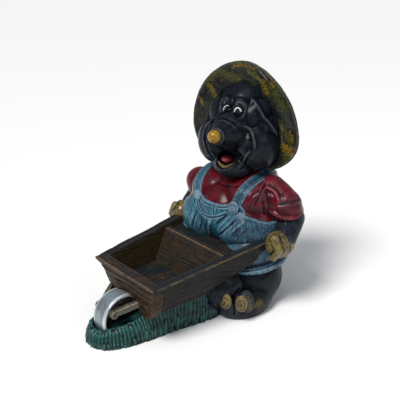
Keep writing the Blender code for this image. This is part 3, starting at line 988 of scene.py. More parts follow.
@dataclass(frozen=True)
class Paint:
    """Hand-painted resin: base coat, patches, wash and painted shade, dry brush and painted
    highlights, lacquer.
    """

    name: str
    base: Colour
    patch: Colour
    # Colour of the dark wash, which also paints the shade in the hollows.
    wash: Colour
    # Colour of the dry brush, which also paints the highlights on the ridges.
    brush: Colour
    patch_share: float = 0.4
    patch_scale: float = 60.0
    patch_stretch: Point = (1.0, 1.0, 1.0)
    second: Colour | None = None
    second_share: float = 0.35
    second_scale: float = 90.0
    shade_strength: float = 0.9
    wash_clouds: float = 0.3
    scratches: float = 0.15
    highlight_strength: float = 0.6
    streaks: float = 0.2
    stroke: Point = (1.0, 1.0, 0.25)
    roughness: float = 0.35
    spread: float = 0.12
    coat: float = 0.5
    coat_roughness: float = 0.12
    specular: float = 0.5
    bump: float = 0.25
    metallic: float = 0.0
    masked: tuple[tuple[str, Colour, float, float], ...] = ()

    def material(self) -> bpy.types.Material:
        """Build the material, or give the one that is already built.

        Returns:
            The material.
        """
        if self.name in bpy.data.materials:
            return bpy.data.materials[self.name]
        made = bpy.data.materials.new(self.name)
        made.use_nodes = True
        self.dress(made.node_tree)
        return made

    def place(self, tree: bpy.types.NodeTree, group: bpy.types.NodeTree,
              **values: object) -> bpy.types.Node:
        """Put a shared group into a material with its own values.

        Args:
            tree: node tree of the material.
            group: the shared group.
            values: socket name to value or socket; an underscore stands for a space.

        Returns:
            The node.
        """
        node = tree.nodes.new("ShaderNodeGroup")
        node.node_tree = group
        for key, entry in values.items():
            socket = node.inputs[key.replace("_", " ")]
            if isinstance(entry, bpy.types.NodeSocket):
                tree.links.new(entry, socket)
            elif isinstance(entry, tuple) and socket.type == "RGBA":
                socket.default_value = (*entry, 1.0)
            else:
                socket.default_value = entry
        return node

    def reads(self, tree: bpy.types.NodeTree, attribute: str) -> object:
        """Socket with the value of an attribute that the sculpting stored.

        Args:
            tree: node tree of the material.
            attribute: name of the attribute.

        Returns:
            The output socket.
        """
        node = tree.nodes.new("ShaderNodeAttribute")
        node.attribute_name = attribute
        return node.outputs["Fac"]

    def dress(self, tree: bpy.types.NodeTree) -> None:
        """Wire the coats of paint in the order in which they are brushed on.

        Args:
            tree: node tree of the material.
        """
        shader = tree.nodes["Principled BSDF"]
        coat = self.place(tree, mottle_group(), Under=self.base, Over=self.patch,
                          Share=self.patch_share, Scale=self.patch_scale,
                          Stretch=self.patch_stretch, Shift=0.0)
        colour = coat.outputs["Color"]
        if self.second is not None:
            coat = self.place(tree, mottle_group(), Under=colour, Over=self.second,
                              Share=self.second_share, Scale=self.second_scale,
                              Stretch=self.patch_stretch, Shift=5.0)
            colour = coat.outputs["Color"]
        for attribute, tint, share, ragged in self.masked:
            mix = tree.nodes.new("ShaderNodeMix")
            mix.data_type = "RGBA"
            edge = self.place(tree, ragged_group(), Patch=self.reads(tree, attribute),
                              Share=share, Ragged=ragged, Stretch=self.stroke)
            tree.links.new(edge.outputs["Mask"], mix.inputs[0])
            tree.links.new(colour, mix.inputs[6])
            mix.inputs[7].default_value = (*tint, 1.0)
            colour = mix.outputs[2]
        # Painted shade in the hollows, then painted highlights on the ridges.
        wash = self.place(tree, shade_wash_group(), Color=colour, Wash=self.wash,
                          Hollow=self.reads(tree, "hollow"), Strength=self.shade_strength,
                          Clouds=self.wash_clouds, Scratches=self.scratches,
                          Stretch=self.stroke)
        brush = self.place(tree, highlight_brush_group(), Color=wash.outputs["Color"],
                           Brush=self.brush, Ridge=self.reads(tree, "ridge"),
                           Strength=self.highlight_strength, Streaks=self.streaks,
                           Stretch=self.stroke)
        lacquer = self.place(tree, lacquer_group(), Roughness=self.roughness,
                             Spread=self.spread, Stretch=self.stroke)
        bump = tree.nodes.new("ShaderNodeBump")
        bump.inputs["Strength"].default_value = self.bump
        bump.inputs["Distance"].default_value = 0.0004
        tree.links.new(lacquer.outputs["Height"], bump.inputs["Height"])
        tree.links.new(brush.outputs["Color"], shader.inputs["Base Color"])
        tree.links.new(lacquer.outputs["Roughness"], shader.inputs["Roughness"])
        tree.links.new(bump.outputs["Normal"], shader.inputs["Normal"])
        shader.inputs["Metallic"].default_value = self.metallic
        shader.inputs["Specular IOR Level"].default_value = self.specular
        shader.inputs["Coat Weight"].default_value = self.coat
        shader.inputs["Coat Roughness"].default_value = self.coat_roughness


FUR_PAINT = Paint(
    "black_fur_paint", base=(0.0020, 0.0035, 0.0065), patch=(0.0045, 0.0075, 0.0125),
    wash=(0.0010, 0.0010, 0.0024), brush=(0.150, 0.175, 0.210), patch_share=0.40,
    patch_scale=38.0, shade_strength=0.9, wash_clouds=0.25, highlight_strength=0.55, streaks=0.02,
    roughness=0.27, coat=0.08, coat_roughness=0.14, specular=0.06, bump=0.20,
    masked=(("ochre", (0.10, 0.080, 0.014), 0.85, 0.9),),
)
EYE_PAINT = Paint(
    "eye_paint", base=(0.0050, 0.0070, 0.0120), patch=(0.010, 0.013, 0.020),
    wash=(0.0020, 0.0015, 0.0030), brush=(0.06, 0.07, 0.08), highlight_strength=0.3, streaks=0.0,
    roughness=0.32, coat=0.15, specular=0.12, masked=(("white", (0.80, 0.84, 0.88), 1.0, 0.05),),
    bump=0.10,
)
NOSE_PAINT = Paint(
    "nose_paint", base=(0.24, 0.125, 0.003), patch=(0.29, 0.160, 0.006),
    wash=(0.070, 0.026, 0.006), brush=(0.60, 0.50, 0.26), patch_share=0.5, patch_scale=120.0,
    shade_strength=0.5, wash_clouds=0.12, highlight_strength=0.08, streaks=0.03, roughness=0.22,
    coat=0.35, specular=0.2, bump=0.12,
)
TONGUE_PAINT = Paint(
    "tongue_paint", base=(0.26, 0.007, 0.018), patch=(0.38, 0.016, 0.036),
    wash=(0.02, 0.002, 0.005), brush=(0.50, 0.12, 0.15), patch_scale=150.0,
    wash_clouds=0.2, highlight_strength=0.2, roughness=0.25, coat=0.6, bump=0.15,
)
LIP_PAINT = Paint(
    "lip_paint", base=(0.16, 0.100, 0.014), patch=(0.24, 0.165, 0.034),
    wash=(0.016, 0.010, 0.005), brush=(0.40, 0.34, 0.20), patch_scale=150.0,
    wash_clouds=0.25, highlight_strength=0.3, roughness=0.28, coat=0.5, bump=0.15,
)
HAT_PAINT = Paint(
    "straw_hat_paint", base=(0.0065, 0.0095, 0.0105), patch=(0.028, 0.030, 0.015),
    second=(0.070, 0.052, 0.010), second_share=0.30, second_scale=60.0,
    wash=(0.003, 0.004, 0.007), brush=(0.14, 0.15, 0.12), patch_share=0.52, patch_scale=70.0,
    shade_strength=0.8, wash_clouds=0.45, highlight_strength=0.30, streaks=0.30, scratches=0.55,
    stroke=(0.55, 1.0, 1.0), roughness=0.34, coat=0.10, specular=0.12, bump=0.40,
    masked=(
        # The grey patches are a painted reflection on the brim, the pale lines a painted
        # highlight along its ridges.
        ("grey_reflection", (0.060, 0.072, 0.070), 0.75, 1.0), ("olive", (0.085, 0.082, 0.014), 0.80, 1.3),
        ("ochre", (0.24, 0.150, 0.009), 0.78, 1.7), ("pale", (0.20, 0.21, 0.18), 0.7, 0.9),
    ),
)
SHIRT_PAINT = Paint(
    "red_shirt_paint", base=(0.0765, 0.0017, 0.0059), patch=(0.1232, 0.0040, 0.0128),
    wash=(0.008, 0.0025, 0.0050), brush=(0.34, 0.10, 0.14), patch_share=0.45,
    patch_scale=44.0, shade_strength=1.0, wash_clouds=0.70, highlight_strength=0.30, streaks=0.05,
    roughness=0.26, coat=0.16, coat_roughness=0.11, specular=0.10, bump=0.15,
)
DENIM_PAINT = Paint(
    "blue_dungaree_paint", base=(0.011, 0.092, 0.145), patch=(0.026, 0.150, 0.200),
    second=(0.012, 0.042, 0.100), second_share=0.36, second_scale=34.0,
    wash=(0.0045, 0.0060, 0.0160), brush=(0.26, 0.40, 0.50), patch_share=0.5,
    patch_scale=50.0, shade_strength=1.0, wash_clouds=0.60, highlight_strength=0.55, streaks=0.50,
    scratches=0.60, stroke=(1.0, 1.0, 0.16), roughness=0.38, coat=0.08, specular=0.11,
    bump=0.40,
    # near is painted shade, pale is a painted highlight.
    masked=(("near", (0.006, 0.016, 0.042), 0.88, 1.0), ("pale", (0.17, 0.26, 0.34), 0.7, 0.9)),
)
BUTTON_PAINT = Paint(
    "button_paint", base=(0.120, 0.220, 0.320), patch=(0.18, 0.30, 0.40),
    wash=(0.003, 0.006, 0.018), brush=(0.46, 0.56, 0.64), patch_scale=150.0,
    wash_clouds=0.2, highlight_strength=0.5, roughness=0.35, coat=0.4, bump=0.2,
)
CLAW_PAINT = Paint(
    "ochre_claw_paint", base=(0.066, 0.041, 0.004), patch=(0.140, 0.090, 0.008),
    wash=(0.010, 0.006, 0.005), brush=(0.46, 0.42, 0.24), patch_share=0.5, patch_scale=90.0,
    second=(0.026, 0.023, 0.006), second_share=0.40, second_scale=70.0,
    shade_strength=1.0, wash_clouds=0.50, highlight_strength=0.30, streaks=0.06, roughness=0.20,
    coat=0.45, specular=0.15, bump=0.12,
)
WOOD_PAINT = Paint(
    "barrow_board_paint", base=(0.0046, 0.0053, 0.0053), patch=(0.0135, 0.0092, 0.0058),
    second=(0.0065, 0.0105, 0.0125), second_share=0.42, second_scale=28.0,
    wash=(0.0018, 0.0020, 0.0026), brush=(0.0610, 0.0510, 0.0400), patch_share=0.42,
    patch_scale=40.0, patch_stretch=(1.0, 0.4, 1.0), shade_strength=1.0, wash_clouds=0.35,
    highlight_strength=0.45, streaks=0.08, scratches=0.35, stroke=(1.0, 0.06, 1.0),
    roughness=0.38, coat=0.06, specular=0.09, bump=0.50,
    masked=(
        ("inside", (0.040, 0.027, 0.008), 0.70, 0.9), ("rim", (0.009, 0.017, 0.023), 0.97, 0.6),
        # edge is a painted highlight along the top edges.
        ("worn", (0.070, 0.031, 0.011), 0.80, 1.1), ("edge", (0.24, 0.155, 0.075), 0.60, 1.3),
    ),
)
TYRE_PAINT = Paint(
    "silver_tyre_paint", base=(0.010, 0.0075, 0.0055), patch=(0.026, 0.016, 0.009),
    wash=(0.002, 0.002, 0.002), brush=(0.16, 0.16, 0.15), patch_scale=120.0,
    shade_strength=1.0, wash_clouds=0.35, highlight_strength=0.4, streaks=0.2, roughness=0.30,
    coat=0.3, bump=0.4, metallic=0.35,
    # bright is a painted highlight along the shoulders of the tread, with pale streaks.
    masked=(("silver", (0.23, 0.275, 0.315), 1.0, 0.5), ("bright", (0.72, 0.78, 0.84), 0.9, 0.4)),
    stroke=(0.08, 1.0, 1.0),
)
FORK_PAINT = Paint(
    "bronze_fork_paint", base=(0.040, 0.036, 0.020), patch=(0.080, 0.070, 0.040),
    wash=(0.005, 0.004, 0.004), brush=(0.28, 0.25, 0.17), patch_scale=120.0,
    wash_clouds=0.3, highlight_strength=0.6, streaks=0.2, roughness=0.34, coat=0.3, bump=0.4,
)
GRASS_PAINT = Paint(
    "green_grass_paint", base=(0.0009, 0.0273, 0.0211), patch=(0.0041, 0.0598, 0.0435),
    second=(0.003, 0.030, 0.040), second_share=0.42, second_scale=30.0,
    wash=(0.004, 0.0012, 0.0075), brush=(0.0765, 0.2232, 0.2040), patch_share=0.5,
    patch_scale=70.0, shade_strength=1.0, wash_clouds=0.42, highlight_strength=0.60, streaks=0.08,
    scratches=0.40, roughness=0.30, coat=0.14, specular=0.12, bump=0.25,
    stroke=(1.0, 1.0, 0.2),
)


# --- head ---------------------------------------------------------------------------------


@dataclass
class Head:
    """Pear-shaped head with round cheeks, ringed snout, eye sockets and a smiling mouth."""

    cell: float = 0.0009
    cheek_side: float = 0.033
    cheek_up: float = 0.240
    snout_up: float = 0.264
    nose_front: float = 0.080
    nose_radius: float = 0.0095
    collar_radius: float = 0.0110
    eye_side: float = 0.0105
    eye_up: float = 0.296
    brow: tuple[Point, ...] = (
        (0.0220, 0.0152, 0.3119), (0.0265, 0.0165, 0.3080), (0.0317, 0.0183, 0.3032),
        (0.0409, 0.0206, 0.2935), (0.0464, 0.0176, 0.2830), (0.0531, 0.0155, 0.2763),
        (0.0579, 0.0111, 0.2671), (0.0603, 0.0057, 0.2571), (0.0616, -0.0002, 0.2431),
    )
    cheek_fold: tuple[Point, ...] = (
        (0.0225, 0.0400, 0.2755), (0.0263, 0.0396, 0.2738), (0.0300, 0.0356, 0.2707),
        (0.0360, 0.0375, 0.2658), (0.0407, 0.0406, 0.2602), (0.0439, 0.0426, 0.2532),
        (0.0444, 0.0442, 0.2466), (0.0420, 0.0450, 0.2405),
    )
    far_fold: tuple[Point, ...] = (
        (-0.0240, 0.0380, 0.2800), (-0.0308, 0.0335, 0.2770), (-0.0390, 0.0350, 0.2685),
        (-0.0420, 0.0400, 0.2591), (-0.0410, 0.0440, 0.2479), (-0.0370, 0.0455, 0.2349),
        (-0.0330, 0.0431, 0.2224), (-0.0260, 0.0420, 0.2130), (-0.0170, 0.0485, 0.2073),
    )
    ring: tuple[Point, ...] = (
        (-0.0150, 0.0560, 0.2775), (-0.0070, 0.0570, 0.2825), (0.0015, 0.0563, 0.2835),
        (0.0095, 0.0565, 0.2811), (0.0144, 0.0549, 0.2783), (0.0193, 0.0531, 0.2734),
        (0.0218, 0.0525, 0.2680),
    )
    smile: tuple[Point, ...] = (
        (0.0400, 0.0452, 0.2400), (0.0359, 0.0472, 0.2371), (0.0302, 0.0455, 0.2285),
        (0.0243, 0.0430, 0.2200), (0.0210, 0.0450, 0.2140), (0.0204, 0.0474, 0.2080),
    )
    far_smile: tuple[Point, ...] = (
        (-0.0320, 0.0390, 0.2370), (-0.0290, 0.0400, 0.2312), (-0.0252, 0.0415, 0.2232),
        (-0.0214, 0.0443, 0.2139), (-0.0166, 0.0488, 0.2104),
    )
    socket: tuple[Point, ...] = (
        (0.0048, 0.0385, 0.2909), (0.0066, 0.0383, 0.2990), (0.0105, 0.0369, 0.3050),
        (0.0150, 0.0340, 0.3064), (0.0195, 0.0298, 0.3030), (0.0216, 0.0290, 0.2965),
        (0.0212, 0.0305, 0.2900), (0.0192, 0.0351, 0.2852), (0.0150, 0.0390, 0.2838),
        (0.0095, 0.0400, 0.2855), (0.0048, 0.0385, 0.2909),
    )

    def lumps(self) -> bpy.types.Object:
        """Press and knead the head, and cut the open mouth.

        Returns:
            The kneaded head.
        """
        clay = Clay("head")
        clay.ball(HEAD, (0.0, -0.004, 0.272), (0.045, 0.040, 0.056))
        clay.ball(HEAD, (0.0, 0.022, 0.209), (0.032, 0.0335, 0.0205))
        clay.ball(HEAD, (0.0, -0.005, 0.215), (0.044, 0.034, 0.030))
        for side in (-1, 1):
            clay.ball(HEAD, (side * self.cheek_side, 0.012, self.cheek_up),
                      (0.031, 0.036, 0.038))
            clay.ball(HEAD, (side * 0.019, 0.003, 0.266), (0.029, 0.034, 0.045),
                      lean=side * 18)
            clay.ball(HEAD, (side * self.eye_side, 0.027, self.eye_up),
                      (0.0110, 0.0095, 0.0150), lean=side * 6)
            clay.ball(HEAD, (side * 0.035, 0.0, 0.257), (0.026, 0.034, 0.036))
        clay.limb(HEAD, (0.0, 0.022, self.snout_up - 0.002), 0.034,
                  (0.0, self.nose_front - 0.016, self.snout_up), 0.0150)
        head = clay.knead(self.cell, 26)
        mouth = Clay("mouth_hollow")
        mouth.ball(HEAD, (-0.0050, 0.0500, 0.2210), (0.0165, 0.0240, 0.0130))
        mouth.ball(HEAD, (0.0040, 0.0530, 0.2275), (0.0220, 0.0200, 0.0062), lean=-8)
        cut(head, mouth.knead(0.0012, 12), "DIFFERENCE")
        reskin(head, self.cell, 8)
        return head

    def sculpt(self, head: bpy.types.Object) -> None:
        """Draw the folds, sockets and the collar round the nose.

        Args:
            head: the kneaded head.
        """
        skin = Skin(head)
        front = HEAD.front
        socket = HEAD.path(self.socket)
        far_socket = HEAD.path([(-side, ahead, up) for side, ahead, up in self.socket])
        skin.swell(Vector(socket[:-1].mean(axis=0)) + front * 0.002, 0.0085, -0.0018)
        skin.swell(HEAD.at(0.0365, 0.0480, 0.2455), 0.0105, -0.0032)
        skin.swell(HEAD.at(0.0200, 0.0470, 0.2270), 0.0085, -0.0045)
        skin.stroke(socket[:9], 0.0021, 0.0017, taper=0.25, facing=front)
        skin.stroke(socket, 0.0010, 0.0004, taper=0.0, facing=front)
        skin.stroke(far_socket[:9], 0.0018, 0.0007, taper=0.3, facing=front)
        skin.settle()
        skin.stroke(HEAD.path(self.brow), 0.0028, 0.0016, taper=0.2)
        skin.stroke(HEAD.path([(-s, f, u) for s, f, u in self.brow[1:]]), 0.0028, 0.0010,
                    taper=0.3)
        skin.settle()
        collar = [(self.collar_radius * c, self.nose_front - 0.0030,
                   self.snout_up + self.collar_radius * s) for c, s in circle(24)]
        still = (0.0, 0.0, 0.0)
        # Each row is a line, how far it is moved, half its width, its depth and its taper.
        for rows in (
            ((self.cheek_fold, (-0.0050, 0.0, -0.0010), 0.0046, -0.0017, 0.2),
             (self.cheek_fold, still, 0.0022, 0.0016, 0.2),
             (self.far_fold, (0.0030, 0.0, 0.0), 0.0024, -0.0024, 0.2),
             (self.far_fold, still, 0.0014, 0.0011, 0.2)),
            ((self.ring, still, 0.0011, 0.0010, 0.25),
             (self.ring, (0.0, -0.0028, 0.0016), 0.0018, -0.0014, 0.25),
             (self.smile, still, 0.0019, 0.0010, 0.2),
             (self.smile, (0.0034, 0.0, -0.0010), 0.0028, -0.0009, 0.2),
             (self.far_smile, still, 0.0014, 0.0010, 0.2),
             (collar, still, 0.0018, 0.0017, 0.0)),
        ):
            for line, (side, ahead, up), width, depth, taper in rows:
                moved = [(s + side, f + ahead, u + up) for s, f, u in line]
                skin.stroke(HEAD.path(moved), width, depth, taper=taper, facing=front)
            skin.settle()
        skin.roughen(0.024, 4, 0.00030)
        skin.relief(fine=4, broad=40, fine_depth=0.00030, broad_depth=0.0028, accent=0.80)

    def nose(self) -> bpy.types.Object:
        """Round ochre nose set in its collar.

        Returns:
            The nose.
        """
        bpy.ops.mesh.primitive_ico_sphere_add(
            subdivisions=5, radius=self.nose_radius,
            location=HEAD.at(0.0, self.nose_front, self.snout_up + 0.001))
        nose = join("nose", [bpy.context.object])
        skin = Skin(nose)
        skin.push(cloud(skin.points, 0.010, 8) * 0.00025)
        skin.swell(HEAD.at(0.001, self.nose_front + 0.0060, self.snout_up - 0.0075), 0.0011,
                   -0.0009)
        skin.settle()
        skin.relief(3, 8)
        return nose

    def eye(self, side: int) -> bpy.types.Object:
        """One eye with its white painted arc.

        Args:
            side: 1 for the figure's left, -1 for its right.

        Returns:
            The eye.
        """
        bpy.ops.mesh.primitive_ico_sphere_add(
            subdivisions=6, radius=1.0, location=HEAD.at(side * self.eye_side, 0.0335,
                                                         self.eye_up),
            rotation=HEAD.spin.to_euler(), scale=(0.0075, 0.0065, 0.0110))
        eye = join(sided("eye", side), [bpy.context.object])
        skin = Skin(eye)
        if side > 0:
            arc = [(0.0087, 0.0393, 0.2933), (0.0110, 0.0396, 0.2977), (0.0136, 0.0385, 0.2997),
                   (0.0162, 0.0369, 0.2982), (0.0176, 0.0354, 0.2943)]
        else:
            arc = [(-0.0092, 0.0391, 0.2932), (-0.0076, 0.0386, 0.2980),
                   (-0.0050, 0.0370, 0.3002), (-0.0030, 0.0340, 0.2990)]
        near, distance, _, _ = skin.along(HEAD.path(arc), 0.002, 0.2,
                                          np.array(HEAD.front[:]))
        white = np.zeros(skin.count)
        half = 0.00085 if side > 0 else 0.00060
        white[near] = np.clip((half - distance) / 0.00022, 0.0, 1.0)
        facing = skin.normals @ np.array(HEAD.front[:])
        skin.mask("white", white * (facing > 0.0))
        skin.relief(4, 10)
        return eye

    def tongue(self) -> bpy.types.Object:
        """Tongue with a shallow middle groove.

        Returns:
            The tongue.
        """
        clay = Clay("tongue")
        clay.ball(HEAD, (-0.0040, 0.0350, 0.2185), (0.0090, 0.0120, 0.0062), tip=-12)
        tongue = clay.knead(0.0006, 3)
        skin = Skin(tongue)
        skin.stroke(HEAD.path([(-0.004, 0.030, 0.2245), (-0.004, 0.040, 0.2245),
                               (-0.004, 0.047, 0.2215)]), 0.0012, -0.0008)
        skin.settle()
        skin.relief(3, 12)
        return tongue

    def lip(self) -> bpy.types.Object:
        """Yellowish roll along the lower edge of the mouth.

        Returns:
            The lip.
        """
        clay = Clay("lower_lip")
        points = [(-0.0165, 0.0425, 0.2150), (-0.0115, 0.0440, 0.2112), (-0.0045, 0.0455, 0.2095),
                  (0.0000, 0.0452, 0.2100), (0.0045, 0.0440, 0.2130), (0.0080, 0.0420, 0.2160)]
        radii = (0.0010, 0.0022, 0.0029, 0.0029, 0.0021, 0.0010)
        for i in range(5):
            clay.limb(HEAD, points[i], radii[i], points[i + 1], radii[i + 1])
        lip = clay.knead(0.0005, 3)
        Skin(lip).relief(3, 10)
        return lip

    def build(self) -> None:
        """Make and paint every piece of the head."""
        head = self.lumps()
        self.sculpt(head)
        hand_over(head, FUR_PAINT)
        hand_over(self.nose(), NOSE_PAINT)
        for side in (-1, 1):
            hand_over(self.eye(side), EYE_PAINT)
        hand_over(self.tongue(), TONGUE_PAINT)
        hand_over(self.lip(), LIP_PAINT)


# --- hat ----------------------------------------------------------------------------------


@dataclass
class StrawHat:
    """Wavy oval brim behind the face with a rounded crown at the back."""

    radius: float = 0.0860
    sag: float = 0.0021
    oval: float = 0.0047
    peak: float = 0.0052
    thick: float = 0.0060
    flare: float = 0.012
    middle_side: float = 0.005
    middle_up: float = 0.2756
    segments: int = 180

    def ring(self, reach: float, lift: float) -> list[Vector]:
        """Points round the brim at a share of its radius.

        Args:
            reach: share of the radius.
            lift: how far the ring stands forward.

        Returns:
            The points.
        """
        points = []
        for i in range(self.segments):
            angle = math.tau * i / self.segments
            wave = 0.0035 * math.sin(3 * angle + 0.9) + 0.0020 * math.sin(5 * angle + 2.1)
            flare = self.flare * max(0.0, reach - 0.45) ** 1.6 * 2.6
            edge = self.radius - self.sag * math.sin(angle) - self.peak * math.sin(3 * angle)
            edge += self.oval * math.cos(2 * angle + 0.3)
            points.append(HEAD.at(
                self.middle_side + edge * reach * math.cos(angle),
                lift + flare + wave * reach ** 3 - 0.004,
                self.middle_up + edge * reach * math.sin(angle),
            ))
        return points

    def patches(self) -> dict[str, list[tuple[list[tuple[float, float]], float]]]:
        """Painted patches by colour: lines of (side, up) and half their width.

        Returns:
            Lines and half widths for the name of each mask.
        """
        return {
            "ochre": [
                ([(-0.0140, 0.3510), (0.0040, 0.3530), (0.0240, 0.3490)], 0.0032),
                ([(0.0300, 0.3330), (0.0350, 0.3270), (0.0400, 0.3180)], 0.0056),
                ([(0.0700, 0.2400), (0.0780, 0.2380), (0.0840, 0.2330)], 0.0075),
                ([(-0.0540, 0.3220), (-0.0480, 0.3060), (-0.0440, 0.2880)], 0.0032),
                ([(-0.0720, 0.2980), (-0.0700, 0.2850)], 0.0030),
                ([(0.0480, 0.3340), (0.0520, 0.3280)], 0.0030),
                ([(0.0820, 0.2640), (0.0850, 0.2540)], 0.0034),
            ],
            "olive": [
                ([(-0.0500, 0.3300), (-0.0380, 0.3390), (-0.0180, 0.3340), (-0.0080, 0.3300)],
                 0.0085),
                ([(-0.0560, 0.3230), (-0.0480, 0.3000)], 0.0050),
                ([(0.0100, 0.3440), (0.0240, 0.3380)], 0.0055),
                ([(0.0480, 0.3300), (0.0600, 0.3120), (0.0700, 0.3000)], 0.0085),
                ([(0.0680, 0.2700), (0.0800, 0.2500), (0.0760, 0.2280)], 0.0090),
            ],
            # Painted reflection on the brim.
            "grey_reflection": [
                ([(0.0660, 0.2940), (0.0760, 0.2840), (0.0820, 0.2760)], 0.0105),
                ([(-0.0700, 0.3100), (-0.0620, 0.3260)], 0.0060),
            ],
            # Painted highlight along the raised ridges.
            "pale": [
                ([(0.0300, 0.3475), (0.0360, 0.3425), (0.0430, 0.3340)], 0.0020),
                ([(0.0650, 0.2720), (0.0660, 0.2600), (0.0662, 0.2400)], 0.0013),
            ],
        }

    def build(self) -> None:
        """Make the hat, press its straw rows and paint it."""
        rings = [self.ring(reach, 0.0) for reach in (0.30, 0.45, 0.60, 0.72, 0.84, 0.93, 0.975)]
        rings.append(self.ring(0.996, -self.thick * 0.25))
        rings.append(self.ring(0.996, -self.thick * 0.75))
        rings += [self.ring(reach, -self.thick)
                  for reach in (0.975, 0.93, 0.84, 0.72, 0.60, 0.45, 0.30)]
        clay = Clay("straw_hat")
        clay.add(loft("brim", rings))
        clay.ball(HEAD, (0.004, -0.030, self.middle_up + 0.004), (0.054, 0.045, 0.052))
        hat = clay.knead(0.0011, 4)
        skin = Skin(hat)
        place = HEAD.local(skin.points)
        across = place[:, 0] - self.middle_side
        up = place[:, 2] - self.middle_up
        away = np.hypot(across, up)
        rows = np.sin(away / 0.0034 * math.tau * 0.5 + cloud(skin.points, 0.03, 5) * 1.2)
        weave = np.sin(np.arctan2(up, across) * 46.0 + np.floor(away / 0.0034) * 2.4)
        skin.push(0.00004 * rows + 0.00004 * weave + 0.0009 * cloud(skin.points, 0.035, 9)
                  + 0.00035 * cloud(skin.points, 0.009, 10))
        # Raised ridges that the pale mask gives a painted highlight.
        skin.stroke(HEAD.path([(0.0300, 0.004, 0.3475), (0.0360, 0.004, 0.3425),
                               (0.0430, 0.003, 0.3340)]), 0.0020, 0.0012)
        skin.stroke(HEAD.path([(0.0650, 0.004, 0.2720), (0.0660, 0.004, 0.2600),
                               (0.0662, 0.004, 0.2400)]), 0.0018, 0.0014)
        skin.settle()
        for name, patches in self.patches().items():
            mask = np.zeros(skin.count)
            for line, width in patches:
                path = HEAD.path([(side, 0.004, up) for side, up in line])
                mask = np.maximum(mask, skin.patch(path, width, HEAD.front))
            skin.mask(name, mask)
        skin.relief(fine=4, broad=30, fine_depth=0.00010, broad_depth=0.0010)
        hand_over(hat, HAT_PAINT)


# --- clothes ------------------------------------------------------------------------------


def torso_clay(name: str, grow: float) -> Clay:
    """Chest, shoulders and belly, each enlarged by the thickness of the cloth.

    Args:
        name: name of the clay.
        grow: thickness of the cloth.

    Returns:
        The clay, not yet kneaded.
    """
    clay = Clay(name)
    lumps = [
        ((0.0, -0.010, 0.170), (0.066, 0.046, 0.040)),
        ((0.0, 0.012, 0.135), (0.055, 0.056, 0.052)),
        ((0.0, -0.012, 0.128), (0.070, 0.050, 0.062)),
    ]
    for side in (-1, 1):
        lumps.append(((side * 0.033, 0.001, 0.161), (0.047, 0.051, 0.037)))
        lumps.append(((side * 0.034, 0.008, 0.122), (0.053, 0.060, 0.046)))
    for centre, radii in lumps:
        clay.ball(TORSO, centre, tuple(radius + grow for radius in radii))
    return clay


# How far each arm is moved back and inward from its place beside the body, by its side.
ARM_PLACES = {1: (0.0, 0.0), -1: (-0.028, 0.011)}


